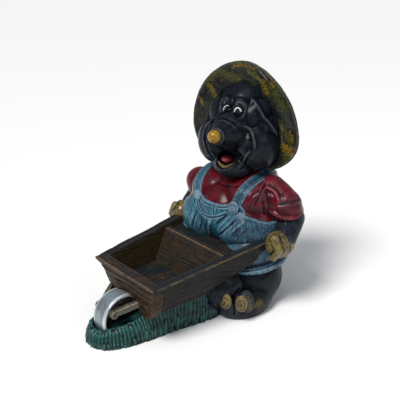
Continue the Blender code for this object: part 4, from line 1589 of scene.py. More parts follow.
@dataclass
class Shirt:
    """Red shirt with two short, cuffed sleeves."""

    shoulder_up: float = 0.168
    left_reach: float = 0.078
    right_reach: float = 0.058

    def sleeve(self, side: int) -> bpy.types.Object:
        """One sleeve with its rolled cuff.

        Args:
            side: 1 for the figure's left, -1 for its right.

        Returns:
            The sleeve.
        """
        reach = self.left_reach if side > 0 else self.right_reach
        clay = Clay("sleeve")
        clay.limb(TORSO, (side * (reach - 0.022), -0.004, self.shoulder_up + 0.003), 0.027,
                  (side * (reach + 0.006), -0.004, self.shoulder_up - 0.012), 0.0265)
        clay.ball(TORSO, (side * (reach + 0.008), -0.003, 0.1545), (0.0285, 0.029, 0.0085),
                  lean=side * 18, tip=6)
        back, inward = ARM_PLACES[side]
        clay.limb(GROUND, (side * (0.086 - inward), -0.042 - back, 0.160), 0.0228,
                  (side * (0.088 - inward), -0.045 - back, 0.152), 0.0226)
        return clay.knead(0.0012, 6)

    def build(self) -> bpy.types.Object:
        """Make and paint the shirt.

        Returns:
            The plain body of the shirt, which the dungarees are laid on.
        """
        core = torso_clay("shirt_core", 0.0).knead(0.0015, 39)
        take(core)
        bpy.ops.object.duplicate()
        body = bpy.context.object
        clay = Clay("shirt")
        clay.add(body)
        for side in (-1, 1):
            clay.add(self.sleeve(side))
        shirt = clay.knead(0.0012, 4)
        skin = Skin(shirt)
        path = TORSO.path
        skin.stroke(path([(0.062, 0.0150, 0.1860), (0.0697, 0.0138, 0.1842),
                          (0.0787, 0.0127, 0.1806), (0.0870, 0.0147, 0.1737),
                          (0.0929, 0.0178, 0.1651)]), 0.0030, 0.0018, bank=-0.0012)
        skin.stroke(path([(0.0880, 0.0200, 0.1640), (0.0931, 0.0179, 0.1638),
                          (0.1020, 0.0108, 0.1668), (0.1074, -0.0011, 0.1675),
                          (0.1090, -0.0120, 0.1670)]), 0.0020, 0.0016, bank=-0.0014)
        skin.stroke(path([(0.0850, 0.0230, 0.1560), (0.0931, 0.0179, 0.1590),
                          (0.1040, 0.0090, 0.1620), (0.1090, -0.0050, 0.1630)]), 0.0016,
                    -0.0013)
        skin.stroke(path([(0.0690, 0.0290, 0.1700), (0.0705, 0.0287, 0.1665),
                          (0.0733, 0.0274, 0.1560), (0.0740, 0.0270, 0.1474)]), 0.0030,
                    -0.0018)
        skin.stroke(path([(0.0573, 0.0070, 0.1945), (0.0610, 0.0220, 0.1860),
                          (0.0626, 0.0314, 0.1763), (0.0603, 0.0405, 0.1618)]), 0.0014, 0.0012,
                    bank=-0.0010)
        for shift in (0.0, 0.0042, 0.0088):
            skin.stroke(path([(-0.0100, 0.0400, 0.1810 - shift),
                              (0.0068, 0.0390, 0.1800 - shift),
                              (0.0190, 0.0375, 0.1815 - shift),
                              (0.0340, 0.0385, 0.1870 - shift)]), 0.0016, -0.0011,
                        facing=TORSO.front)
        for side in (-1, 1):
            for line in (((0.0398, 0.0523, 0.1723), (0.0443, 0.0419, 0.1856),
                          (0.0447, 0.0265, 0.1953), (0.0476, 0.0056, 0.2002)),
                         ((0.0526, 0.0454, 0.1667), (0.0590, 0.0349, 0.1786),
                          (0.0620, 0.0196, 0.1873), (0.0600, 0.0000, 0.1947))):
                skin.stroke(path([(side * s, f, u) for s, f, u in line]), 0.0016, -0.0007,
                            taper=0.05)
        for side, reach in ((-1, self.right_reach), (1, self.left_reach)):
            for k, turn in enumerate((0.2, 1.0, 1.9, 2.8, 4.0, 5.1)):
                start = (side * (reach - 0.012), -0.004 + 0.026 * math.cos(turn),
                         0.172 + 0.020 * math.sin(turn))
                end = (side * (reach + 0.010), -0.004 + 0.028 * math.cos(turn + 0.5),
                       0.162 + 0.020 * math.sin(turn + 0.5))
                skin.stroke(path([start, end]), 0.0024, -0.0006 if k % 2 else 0.0006,
                            taper=0.45)
        skin.settle()
        skin.roughen(0.022, 14, 0.0007)
        skin.relief(fine=4, broad=36, fine_depth=0.00018, broad_depth=0.0016, accent=0.35)
        hand_over(shirt, SHIRT_PAINT)
        return core


@dataclass
class Dungarees:
    """Bib, straps, buttons and trouser legs."""

    cloth: float = 0.0022
    bib_up: float = 0.162
    strap_wide: float = 0.0175
    strap_steps: int = 44
    button_radius: float = 0.0085
    button_side: float = 0.036

    def outline(self) -> list[tuple[float, float]]:
        """Outline of the bib seen from the front, as (side, up).

        Returns:
            The outline, in metres.
        """
        half = self.button_side + self.button_radius + 0.002
        top = self.bib_up
        return [
            (-0.11, 0.050), (0.11, 0.050), (0.11, 0.132), (0.080, 0.1390), (0.069, 0.1450),
            (0.056, 0.1490), (half, top), (half - 0.008, top + 0.002), (0.020, top - 0.003),
            (-0.020, top - 0.003), (-half + 0.008, top + 0.002), (-half, top),
            (-0.056, 0.1490), (-0.069, 0.1450), (-0.080, 0.1390), (-0.11, 0.132),
        ]

    def bib(self) -> bpy.types.Object:
        """Cloth of the bib and waist with its hems, pocket and folds.

        Returns:
            The cloth, with its masks.
        """
        cloth = torso_clay("dungarees", self.cloth).knead(0.0015, 39)
        rings = [[TORSO.at(side, depth, up) for side, up in self.outline()]
                 for depth in (-0.12, 0.12)]
        cut(cloth, loft("bib_outline", rings), "INTERSECT")
        reskin(cloth, 0.0011, 2)
        skin = Skin(cloth)
        path = TORSO.path
        front = TORSO.front
        hem = [(-0.0400, 0.0560, 0.1600), (-0.0200, 0.0610, 0.1555), (0.0, 0.0620, 0.1553),
               (0.0200, 0.0610, 0.1555), (0.0400, 0.0560, 0.1600)]
        skin.stroke(path(hem), 0.0009, -0.0010, facing=front)
        skin.stroke(path([(s, f, u - 0.0018) for s, f, u in hem]), 0.0011, 0.0006,
                    facing=front)
        pocket = [(-0.0345, 0.0580, 0.1540), (-0.0324, 0.0596, 0.1484),
                  (-0.0222, 0.0644, 0.1410), (-0.0117, 0.0677, 0.1376),
                  (-0.0011, 0.0693, 0.1372), (0.0100, 0.0677, 0.1392),
                  (0.0208, 0.0640, 0.1435), (0.0300, 0.0596, 0.1500)]
        skin.stroke(path(pocket), 0.0011, -0.0013, facing=front)
        skin.stroke(path([(s * 0.93, f, u + 0.0022) for s, f, u in pocket]), 0.0013, 0.0008,
                    facing=front)
        skin.stroke(path([(0.0059, 0.0612, 0.1590), (0.0072, 0.0650, 0.1510),
                          (0.0083, 0.0678, 0.1425)]), 0.0009, -0.0011, taper=0.05,
                    facing=front)
        skin.stroke(path([(0.0090, 0.0612, 0.1590), (0.0103, 0.0650, 0.1510),
                          (0.0112, 0.0678, 0.1435)]), 0.0009, 0.0008, taper=0.05,
                    facing=front)
        ridge = [(0.0042, 0.0692, 0.1354), (0.0000, 0.0690, 0.1250), (-0.0033, 0.0660, 0.1161),
                 (-0.0060, 0.0625, 0.1070), (-0.0080, 0.0607, 0.0979)]
        skin.stroke(path(ridge), 0.0026, 0.0019, facing=front)
        folds = [
            ([(0.0310, 0.0600, 0.1480), (0.0277, 0.0619, 0.1454), (0.0181, 0.0669, 0.1343),
              (0.0112, 0.0672, 0.1253)], 0.0021, -0.0013),
            ([(0.0380, 0.0590, 0.1480), (0.0300, 0.0640, 0.1380), (0.0210, 0.0670, 0.1270),
              (0.0120, 0.0660, 0.1150)], 0.0020, 0.0010),
            ([(0.0482, 0.0578, 0.1470), (0.0416, 0.0640, 0.1365), (0.0264, 0.0680, 0.1201),
              (0.0080, 0.0640, 0.1050)], 0.0021, -0.0012),
            ([(0.0595, 0.0492, 0.1447), (0.0560, 0.0560, 0.1400), (0.0483, 0.0640, 0.1300),
              (0.0360, 0.0670, 0.1170)], 0.0023, 0.0010),
            ([(0.0660, 0.0450, 0.1420), (0.0640, 0.0520, 0.1330), (0.0560, 0.0600, 0.1210)],
             0.0018, -0.0009),
            ([(-0.0382, 0.0614, 0.1444), (-0.0420, 0.0640, 0.1285), (-0.0520, 0.0590, 0.1120),
              (-0.0600, 0.0527, 0.0980)], 0.0021, -0.0009),
            ([(-0.0270, 0.0633, 0.1422), (-0.0300, 0.0680, 0.1288), (-0.0372, 0.0652, 0.1061)],
             0.0017, -0.0009),
            ([(-0.0330, 0.0630, 0.1380), (-0.0360, 0.0660, 0.1240), (-0.0440, 0.0620, 0.1050)],
             0.0018, 0.0012),
            ([(-0.0150, 0.0690, 0.1320), (-0.0180, 0.0680, 0.1200), (-0.0230, 0.0640, 0.1060)],
             0.0016, -0.0010),
        ]
        for line, width, depth in folds:
            skin.stroke(path(line), width, depth, taper=0.3, facing=front)
        waist = [(0.0494, 0.0552, 0.1460), (0.0583, 0.0478, 0.1425), (0.0689, 0.0403, 0.1340),
                 (0.0768, 0.0276, 0.1300), (0.0790, 0.0000, 0.1255), (0.0720, -0.0400, 0.1255),
                 (0.0300, -0.0640, 0.1255), (-0.0300, -0.0640, 0.1255),
                 (-0.0720, -0.0400, 0.1255), (-0.0790, 0.0000, 0.1255),
                 (-0.0768, 0.0276, 0.1300), (-0.0583, 0.0478, 0.1425)]
        skin.stroke(path(waist), 0.0010, -0.0006)
        for side in (-1, 1):
            round_button = [(side * self.button_side + 0.0100 * c, 0.0560,
                             self.bib_up - 0.004 + 0.0100 * s) for c, s in circle(16)]
            skin.stroke(path(round_button), 0.0012, -0.0008, taper=0.0, facing=front)
        skin.settle()
        skin.push(cloud(skin.points, 0.020, 21) * 0.0006
                  + cloud(skin.points, 0.0030, 22, 2, (1.0, 1.0, 3.0)) * 0.00012)
        skin.settle()
        # Painted highlight down the middle ridge and along the lower bib.
        self.shade(skin, path([(0.0042, 0.0692, 0.1354), (-0.0080, 0.0607, 0.0979)]),
                   path([(0.0500, 0.05, 0.1000), (0.0100, 0.06, 0.0940),
                         (-0.0500, 0.05, 0.0960)]))
        skin.relief(fine=4, broad=26, fine_depth=0.00014, broad_depth=0.0014)
        return cloth

    def shade(self, skin: Skin, *pale: np.ndarray) -> None:
        """Mask painted shade on the near side, and painted highlight lines.

        Args:
            skin: the cloth.
            pale: lines that get a painted highlight.
        """
        place = TORSO.local(skin.points)
        # Painted shade: darker towards the near side and away from the front.
        near = np.clip((place[:, 0] - 0.004) / 0.045, 0.0, 1.0) * 0.62
        near = near + np.clip((0.060 - place[:, 1]) / 0.09, 0.0, 1.0) * 0.35
        skin.mask("near", near + 0.12 * cloud(skin.points, 0.018, 23))
        # Painted highlight along the given lines.
        lines = np.zeros(skin.count)
        for line in pale:
            lines = np.maximum(lines, 0.6 * skin.patch(line, 0.0032, TORSO.front))
        skin.mask("pale", lines)

    def straps(self, core: bpy.types.Object) -> list[bpy.types.Object]:
        """Two straps laid on the shirt, from the bib over the shoulders to the back.

        Args:
            core: the plain body of the shirt.

        Returns:
            The straps.
        """
        surface = BVHTree.FromObject(core, bpy.context.evaluated_depsgraph_get())
        made = []
        for side in (-1, 1):
            rings = []
            line = []
            for i in range(self.strap_steps + 1):
                turn = math.pi * (0.06 + 0.86 * i / self.strap_steps)
                reach = self.button_side + 0.012 * math.sin(turn)
                reach -= 0.018 * max(0.0, -math.cos(turn))
                middle = TORSO.at(side * reach, 0.0, 0.150)
                aim = TORSO.front * math.cos(turn) + Vector((0.0, 0.0, 0.9 * math.sin(turn)))
                spot, normal = surface.ray_cast(middle + aim * 0.2, -aim)[:2]
                across = TORSO.side - normal * TORSO.side.dot(normal)
                across = across.normalized() * self.strap_wide / 2
                top = normal * self.cloth * 0.85
                root = normal * -0.004
                ring = [spot - across + root]
                for share in (-1.0, -0.8, -0.4, 0.0, 0.4, 0.8, 1.0):
                    crown = 1.0 if abs(share) < 0.99 else 0.6
                    ring.append(spot + across * share + top * crown)
                ring.append(spot + across + root)
                rings.append(ring)
                line.append((spot + top, across))
            strap = loft(sided("strap", side), rings)
            reskin(strap, 0.0008, 3)
            skin = Skin(strap)
            for share in (-0.72, 0.72):
                path = np.array([(spot + across * share)[:] for spot, across in line])
                skin.stroke(path, 0.0007, -0.0005, taper=0.03)
            skin.roughen(0.007, 31, 0.00025)
            # Painted shade towards the near side.
            self.shade(skin)
            skin.relief(fine=3, broad=16, fine_depth=0.00010, broad_depth=0.0008)
            made.append(strap)
        return made

    def buttons(self) -> list[bpy.types.Object]:
        """Two round buttons with a raised rim and four thread holes.

        Returns:
            The two buttons.
        """
        made = []
        for side in (-1, 1):
            spot = TORSO.at(side * self.button_side, 0.0550, self.bib_up - 0.004)
            turn = TORSO.spin @ Matrix.Rotation(math.radians(side * 16), 4, "Z")
            turn = turn @ Matrix.Rotation(math.radians(90 + 8), 4, "X")
            let_go()
            bpy.ops.mesh.primitive_cylinder_add(
                vertices=48, radius=self.button_radius, depth=0.0062, location=spot,
                rotation=turn.to_euler(),
            )
            button = join(sided("button", side), [bpy.context.object])
            outward = (turn @ Vector((0.0, 0.0, 1.0))).normalized()
            bpy.ops.object.mode_set(mode="EDIT")
            bpy.ops.mesh.select_mode(type="FACE")
            bpy.ops.mesh.select_all(action="DESELECT")
            work = bmesh.from_edit_mesh(button.data)
            work.faces.ensure_lookup_table()
            for face in work.faces:
                face.select = len(face.verts) > 4 and face.normal.dot(outward) > 0.9
            bmesh.update_edit_mesh(button.data)
            bpy.ops.mesh.inset(thickness=0.0019)
            bpy.ops.transform.translate(value=outward * -0.0009)
            bpy.ops.mesh.inset(thickness=0.0008)
            bpy.ops.mesh.select_all(action="SELECT")
            bpy.ops.object.mode_set(mode="OBJECT")
            for i in range(4):
                angle = math.tau * (i + 0.5) / 4
                offset = turn @ Vector((0.0024 * math.cos(angle), 0.0024 * math.sin(angle),
                                        0.0031))
                bpy.ops.mesh.primitive_cylinder_add(
                    vertices=16, radius=0.0011, depth=0.004, location=spot + offset,
                    rotation=turn.to_euler(),
                )
                hole = join("thread_hole", [bpy.context.object])
                cut(button, hole, "DIFFERENCE")
            reskin(button, 0.00032, 3)
            Skin(button).relief(fine=4, broad=14, fine_depth=0.00004, broad_depth=0.0002)
            made.append(button)
        return made

    def trousers(self) -> bpy.types.Object:
        """Seat and two wide, short legs with turned hems.

        Returns:
            The trousers, with their masks.
        """
        clay = Clay("trousers")
        for side in (-1, 1):
            clay.ball(GROUND, (side * 0.052, -0.018, 0.092), (0.043, 0.052, 0.036), tip=8)
            clay.ball(GROUND, (side * 0.054, -0.016, 0.0720), (0.0460, 0.0520, 0.0125), tip=8)
        clay.ball(GROUND, (0.0, -0.040, 0.080), (0.060, 0.048, 0.052))
        clay.ball(GROUND, (0.0, -0.030, 0.108), (0.068, 0.054, 0.040))
        trousers = clay.knead(0.0013, 11)
        skin = Skin(trousers)
        for side in (-1, 1):
            for i in range(9):
                height = 0.074 + 0.0048 * i
                line = []
                for k in range(7):
                    turn = math.radians(-50 + 32 * k + 9 * math.sin(i * 2.3))
                    line.append((side * (0.054 + 0.043 * math.cos(turn)),
                                 -0.016 + 0.050 * math.sin(turn),
                                 height + 0.0035 * math.sin(k * 1.1 + i) - 0.004 * k / 6))
                skin.stroke(GROUND.path(line), 0.0013, -0.0009 if i % 2 else -0.0006,
                            taper=0.3)
        skin.settle()
        skin.roughen(0.020, 41, 0.0006)
        # Painted highlight on the front of the near trouser leg.
        self.shade(skin, GROUND.path([(0.052, 0.034, 0.0700), (0.066, 0.030, 0.0680)]))
        skin.relief(fine=4, broad=26, fine_depth=0.00014, broad_depth=0.0014)
        return trousers

    def build(self, core: bpy.types.Object) -> None:
        """Make and paint every piece of the dungarees.

        Args:
            core: the plain body of the shirt, which is used up.
        """
        hand_over(self.bib(), DENIM_PAINT)
        for strap in self.straps(core):
            hand_over(strap, DENIM_PAINT)
        bpy.data.objects.remove(core)
        for button in self.buttons():
            hand_over(button, BUTTON_PAINT)
        hand_over(self.trousers(), DENIM_PAINT)


# --- limbs --------------------------------------------------------------------------------


@dataclass
class Arm:
    """One arm with the fist closed over the barrow handle."""

    side: int
    back: float
    inward: float

    def arm(self) -> bpy.types.Object:
        """Upper arm and forearm.

        Returns:
            The arm.
        """
        side, inward, back = self.side, self.inward, self.back
        clay = Clay(sided("arm", side))
        elbow = (side * (0.091 - inward), -0.049 - back, 0.138)
        clay.limb(GROUND, (side * (0.086 - inward), -0.042 - back, 0.160), 0.022, elbow, 0.0215)
        clay.limb(GROUND, elbow, 0.0215,
                  (side * (0.101 - inward * 1.1), -0.030 - back, 0.114), 0.0165)
        arm = clay.knead(0.0013, 8)
        skin = Skin(arm)
        skin.roughen(0.016, 51 + side, 0.0005)
        skin.relief(fine=4, broad=30, fine_depth=0.00032, broad_depth=0.0024, accent=0.55)
        return arm

    def hand(self) -> bpy.types.Object:
        """Fist with three fingers over the handle.

        Returns:
            The hand.
        """
        side = self.side
        grip_x = 0.100 - self.inward * 1.1
        grip_y = -0.016 - self.back
        clay = Clay(sided("hand", side))
        clay.ball(GROUND, (side * grip_x, grip_y, 0.109), (0.0185, 0.0200, 0.0195))
        for i in range(3):
            y = grip_y + 0.012 - 0.0115 * i
            knuckle = (side * (grip_x + 0.0130), y, 0.1060)
            clay.limb(GROUND, (side * (grip_x + 0.005), y, 0.1210), 0.0070, knuckle, 0.0068)
            clay.limb(GROUND, knuckle, 0.0068, (side * (grip_x + 0.003), y, 0.0920), 0.0060)
        hand = clay.knead(0.0009, 3)
        skin = Skin(hand)
        for i in range(2):
            y = grip_y + 0.00625 - 0.0115 * i
            skin.stroke(GROUND.path([(side * (grip_x + 0.004), y, 0.1270),
                                     (side * (grip_x + 0.0175), y, 0.1150),
                                     (side * (grip_x + 0.0190), y, 0.1050),
                                     (side * (grip_x + 0.0100), y, 0.0900)]), 0.0013, -0.0013)
        skin.roughen(0.010, 61 + side, 0.0006)
        skin.relief(fine=4, broad=20, fine_depth=0.00010, broad_depth=0.0007)
        return hand

    def build(self) -> None:
        """Make and paint the arm and its hand."""
        hand_over(self.arm(), FUR_PAINT)
        hand_over(self.hand(), CLAW_PAINT)


@dataclass
class Leg:
    """One thick leg and foot with raised toes and oval claws."""

    side: int
    toes: tuple[Point, ...] = ((0.050, 0.066, 0.026), (0.069, 0.050, 0.029),
                               (0.088, 0.036, 0.027))

    def foot(self) -> bpy.types.Object:
        """Leg, foot and toes, cut off flat on the ground.

        Returns:
            The leg with its foot.
        """
        side = self.side
        clay = Clay(sided("leg", side))
        clay.ball(GROUND, (side * 0.053, -0.010, 0.040), (0.041, 0.050, 0.044))
        clay.ball(GROUND, (side * 0.063, 0.017, 0.018), (0.037, 0.050, 0.032))
        clay.ball(GROUND, (side * 0.049, 0.046, 0.042), (0.031, 0.037, 0.034))
        for x, y, up in self.toes:
            clay.ball(GROUND, (side * x, y, up), (0.0125, 0.0140, 0.0190))
        leg = clay.knead(0.0013, 11)
        trim_below(leg, 0.0002)
        skin = Skin(leg)
        for (x, y, _), (x2, y2, _) in zip(self.toes, self.toes[1:]):
            middle_x, middle_y = (x + x2) / 2, (y + y2) / 2
            skin.stroke(GROUND.path([(side * (middle_x - 0.006), middle_y - 0.010, 0.050),
                                     (side * (middle_x + 0.004), middle_y + 0.008, 0.040),
                                     (side * (middle_x + 0.007), middle_y + 0.013, 0.024),
                                     (side * (middle_x + 0.006), middle_y + 0.012, 0.008)]),
                        0.0022, -0.0020)
        skin.settle()
        skin.roughen(0.026, 71 + side, 0.0004)
        stain = GROUND.path([(side * 0.098, 0.044, 0.034), (side * 0.101, 0.040, 0.022)])
        skin.mask("ochre", skin.patch(stain, 0.0075, GROUND.front))
        skin.relief(fine=4, broad=34, fine_depth=0.00036, broad_depth=0.0030, accent=0.60)
        return leg

    def claws(self) -> list[bpy.types.Object]:
        """Two oval claws with a raised rim round a dished nail.

        Returns:
            The two claws.
        """
        made = []
        side = self.side
        for i, (x, y, up, wide, turn) in enumerate((
            (0.0742, 0.0626, 0.0325, 0.0096, 22), (0.0936, 0.0496, 0.0315, 0.0092, 42),
        )):
            spot = Place(side * x, -y, side * turn)
            bpy.ops.mesh.primitive_ico_sphere_add(
                subdivisions=5, radius=1.0, location=spot.at(0.0, 0.0, up),
                rotation=spot.spin.to_euler(), scale=(wide, 0.0056, 0.0132))
            claw = join(f"{sided('claw', side)}_{i + 1}", [bpy.context.object])
            skin = Skin(claw)
            place = spot.local(skin.points)
            away = np.hypot(place[:, 0] / wide, (place[:, 2] - up) / 0.0125)
            rim = np.exp(-((away - 0.80) / 0.09) ** 2)
            dish = np.exp(-(away / 0.52) ** 2)
            front = place[:, 1] > 0.0
            # The raised rim also gets a painted highlight.
            skin.raised = rim * front
            skin.push(np.where(front, 0.0010 * rim - 0.0011 * dish, 0.0)
                      + cloud(skin.points, 0.006, 81 + i) * 0.0003)
            skin.settle()
            skin.relief(fine=6, broad=24, fine_depth=0.00008, broad_depth=0.0005)
            made.append(claw)
        return made

    def build(self) -> None:
        """Make and paint the leg and its claws."""
        hand_over(self.foot(), FUR_PAINT)
        for claw in self.claws():
            hand_over(claw, CLAW_PAINT)


# --- barrow -------------------------------------------------------------------------------


def spot(x: float, y: float, z: float) -> Vector:
    """Point given from the barrow's middle plane, in the row frame."""
    return Vector((x, y, z)) + SHIFT


@dataclass
class Barrow:
    """Planter tray of old boards: two sides with handles, front, back, floor and deck."""

    tray_front: float = -0.187
    tray_back: float = -0.0615
    rail_thick: float = 0.0145
    rim_half: float = 0.0735
    floor_up: float = 0.058
    handle_end: float = 0.014
    drain_radius: float = 0.0022
    cell: float = 0.0010

    def board(self, name: str, rings: list[list[Vector]], grain: Point, seed: int,
              extra: list[bpy.types.Object] | None = None) -> bpy.types.Object:
        """Make one board with carved grain.

        Args:
            name: name of the board.
            rings: its outline at each end.
            grain: how much longer the grain is along each axis.
            seed: number that picks the grain.
            extra: lumps that are pressed onto the board.

        Returns:
            The board.
        """
        clay = Clay(name)
        clay.add(loft(name, rings))
        for lump in extra or []:
            clay.add(lump)
        board = clay.knead(self.cell, 2)
        skin = Skin(board)
        long_grain = cloud(skin.points, 0.0085, seed, 3, grain)
        fine_grain = cloud(skin.points, 0.0022, seed + 1, 2, grain)
        lines = -np.clip(0.09 - np.abs(long_grain), 0.0, 0.09) / 0.09
        skin.push(lines * 0.00040 + fine_grain * 0.00010
                  + cloud(skin.points, 0.020, seed + 2, 2) * 0.0006)
        skin.settle()
        return board

    def mask(self, board: bpy.types.Object, inward: Vector | None, worn: float = 0.0,
             edge: np.ndarray | None = None) -> None:
        """Mask the top rim, the inside face, the orange wear and a painted highlight along an
        edge of a board.

        Args:
            board: the board.
            inward: direction of the face inside the tray, if it has one.
            worn: share of the orange wear all over it.
            edge: line of an edge that gets a painted highlight.
        """
        skin = Skin(board)
        skin.mask("worn", worn * (0.75 + 0.5 * cloud(skin.points, 0.016, 191)))
        # Painted highlight along the edge.
        if edge is not None:
            near, distance, _, _ = skin.along(edge, 0.004)
            line = np.zeros(skin.count)
            line[near] = np.clip(1.3 - distance / 0.0014, 0.0, 1.0)
            skin.mask("edge", line)
        facing = skin.blur(skin.normals, 6)
        skin.mask("rim", np.clip((facing[:, 2] - 0.45) / 0.25, 0.0, 1.0))
        inside = np.zeros(skin.count)
        if inward is not None:
            inside = np.clip((facing @ np.array(inward[:]) - 0.35) / 0.3, 0.0, 1.0)
        skin.mask("inside", inside)
        skin.relief(fine=3, broad=12, fine_depth=0.00008, broad_depth=0.0005)

    def rail(self, side: int) -> bpy.types.Object:
        """One side board that runs back into a handle.

        Args:
            side: 1 for the figure's left, -1 for its right.

        Returns:
            The board.
        """
        end = self.handle_end if side > 0 else self.handle_end - 0.012
        low = (0.0655, 0.0560) if side > 0 else (0.0480, 0.0565)
        stations = [
            (self.tray_front + 0.006, 0.0000, low[0], 0.0915, low[1]),
            (-0.145, 0.0040, 0.0680, 0.0965, 0.0570),
            (-0.085, 0.0090, 0.0720, 0.1030, 0.0600),
            (-0.045, 0.0135, 0.0790, 0.1080, 0.0730),
            (-0.015, 0.0175, 0.0860, 0.1120, 0.0860),
            (end, 0.0200, 0.0915, 0.1155, 0.0980),
        ]
        rings = []
        for y, flare, outer_low, top, bottom in stations:
            outer = self.rim_half + flare
            section = [
                (outer_low, bottom), (outer, top - 0.0015), (outer - 0.0020, top),
                (outer - self.rail_thick + 0.0015, top), (outer - self.rail_thick, top - 0.0015),
                (outer_low - self.rail_thick, bottom),
            ]
            rings.append([spot(side * x, y, z) for x, z in section])
        rail = self.board(sided("rail", side), rings, (1.0, 14.0, 1.0), 101 + side)
        skin = Skin(rail)
        for i in range(3):
            drop = 0.0005 + 0.0060 * i
            line = [spot(side * (self.rim_half + 0.020 * share + 0.0002 - 0.16 * drop),
                         self.tray_front + 0.010 + 0.17 * share,
                         0.0905 + 0.022 * share - 0.0035 - drop * 1.6)[:]
                    for share in (0.02, 0.2, 0.4, 0.6, 0.8, 1.0)]
            skin.stroke(np.array(line), 0.0009, -0.0008 if i else -0.0012, taper=0.1)
        top = [spot(side * (self.rim_half + 0.020 * share - self.rail_thick * 0.55),
                    self.tray_front + 0.012 + 0.17 * share, 0.0920 + 0.0215 * share)[:]
               for share in (0.0, 0.25, 0.5, 0.75, 1.0)]
        skin.stroke(np.array(top), 0.0010, -0.0008, taper=0.1)
        skin.settle()
        # Line of the outer top edge, which gets a painted highlight.
        outer = np.array([spot(side * (self.rim_half + flare), y, high - 0.0008)[:]
                          for y, flare, _, high, _ in stations])
        self.mask(rail, Vector((-side, 0.0, 0.3)).normalized(), 0.06, outer)
        return rail

    def front(self) -> bpy.types.Object:
        """Front board with its broken lower edge and knot.

        Returns:
            The front board.
        """
        half = self.rim_half
        face = [
            (-half, 0.0895), (-half + 0.004, 0.0925), (half - 0.003, 0.0925), (half, 0.0900),
            (0.0690, 0.0580), (0.0640, 0.0480), (0.0560, 0.0440), (0.0420, 0.0440),
            (0.0370, 0.0540), (0.0310, 0.0640), (0.0100, 0.0655), (0.0040, 0.0610),
            (-0.0160, 0.0600), (-0.0250, 0.0610), (-0.0325, 0.0660), (-0.0385, 0.0750),
            (-0.0500, 0.0810), (-0.0620, 0.0855),
        ]
        rings = [[spot(x, y, z) for x, z in face]
                 for y in (self.tray_front - 0.0015, self.tray_front + 0.0155)]
        knot = Clay("knot")
        knot.ball(GROUND, (-0.0100, -self.tray_front - 0.002, 0.0690),
                  (0.0135, 0.0075, 0.0085), lean=12)
        board = self.board("front_board", rings, (14.0, 1.0, 1.0), 111, knot.lumps)
        skin = Skin(board)
        ahead = -self.tray_front + 0.0015
        for up, bend, width, depth in ((0.0845, 0.0006, 0.0013, -0.0014),
                                       (0.0765, -0.0010, 0.0012, -0.0008),
                                       (0.0665, 0.0012, 0.0012, -0.0009),
                                       (0.0560, -0.0006, 0.0010, -0.0006)):
            line = [(x, ahead, up + bend * math.sin(x * 70.0 + up * 300.0))
                    for x in (-0.070, -0.050, -0.030, -0.010, 0.010, 0.030, 0.050, 0.068)]
            skin.stroke(GROUND.path(line), width, depth, taper=0.06, facing=GROUND.front)
        for radius in (0.0060, 0.0105):
            ring = [(-0.0100 + 1.4 * radius * c, ahead + 0.004, 0.0690 + 0.8 * radius * s)
                    for c, s in circle(12)]
            skin.stroke(GROUND.path(ring), 0.0010, -0.0011, taper=0.0, facing=GROUND.front)
        skin.settle()
        # Top front edge, which gets a painted highlight.
        edge = np.array([spot(x, self.tray_front - 0.0012, 0.0915)[:]
                         for x in (-0.070, -0.030, 0.010, 0.040, 0.071)])
        self.mask(board, Vector((0.0, 1.0, 0.3)).normalized(), 0.75, edge)
        return board

    def block(self, name: str, outline: list[tuple[float, float]], low: float,
              spread: float, seed: int) -> bpy.types.Object:
        """Board between the sides.

        Args:
            name: name of the board.
            outline: (y, z) of its edge.
            low: half its width at the ground.
            spread: how much wider it gets with height.
            seed: number that picks the grain.

        Returns:
            The board.
        """
        rings = [[spot(side * (low + spread * z), y, z) for y, z in outline]
                 for side in (-1, 1)]
        board = self.board(name, rings, (14.0, 1.0, 1.0), seed)
        top = max(outline, key=lambda corner: corner[1])
        # Top edge, which gets a painted highlight.
        edge = np.array([spot(x, top[0], top[1])[:] for x in (-0.072, 0.0, 0.072)])
        self.mask(board, Vector((0.0, -0.8, 0.6)).normalized(), 0.5, edge)
        return board

    def floor(self) -> bpy.types.Object:
        """Floor of the tray with its drain hole.

        Returns:
            The floor.
        """
        front = self.tray_front
        outline = [(0.0580, front + 0.004), (0.0610, -0.080), (-0.0610, -0.080),
                   (-0.0580, front + 0.030), (-0.040, front + 0.004)]
        rings = [[spot(x, y, z) for x, y in outline] for z in (0.046, self.floor_up)]
        board = self.board("tray_floor", rings, (2.0, 6.0, 1.0), 131)
        let_go()
        bpy.ops.mesh.primitive_cylinder_add(
            vertices=32, radius=self.drain_radius, depth=0.012,
            location=spot(-0.006, -0.118, self.floor_up))
        cut(board, join("drain_hollow", [bpy.context.object]), "DIFFERENCE")
        self.mask(board, Vector((0.0, 0.0, 1.0)), 0.45)
        return board

    def build(self) -> None:
        """Make and paint every board."""
        back = self.tray_back
        lean = [(back - 0.034, 0.048), (back - 0.031, self.floor_up), (back - 0.001, 0.1000),
                (back + 0.001, 0.1015), (back + 0.009, 0.1015), (back + 0.012, 0.0990),
                (-0.040, 0.060)]
        deck = [(-0.0560, 0.062), (-0.0560, 0.0975), (0.030, 0.0990), (0.030, 0.062)]
        for board in (self.rail(-1), self.rail(1), self.front(), self.floor(),
                      self.block("back_board", lean, 0.0500, 0.24, 141),
                      self.block("deck", deck, 0.0480, 0.26, 151)):
            hand_over(board, WOOD_PAINT)


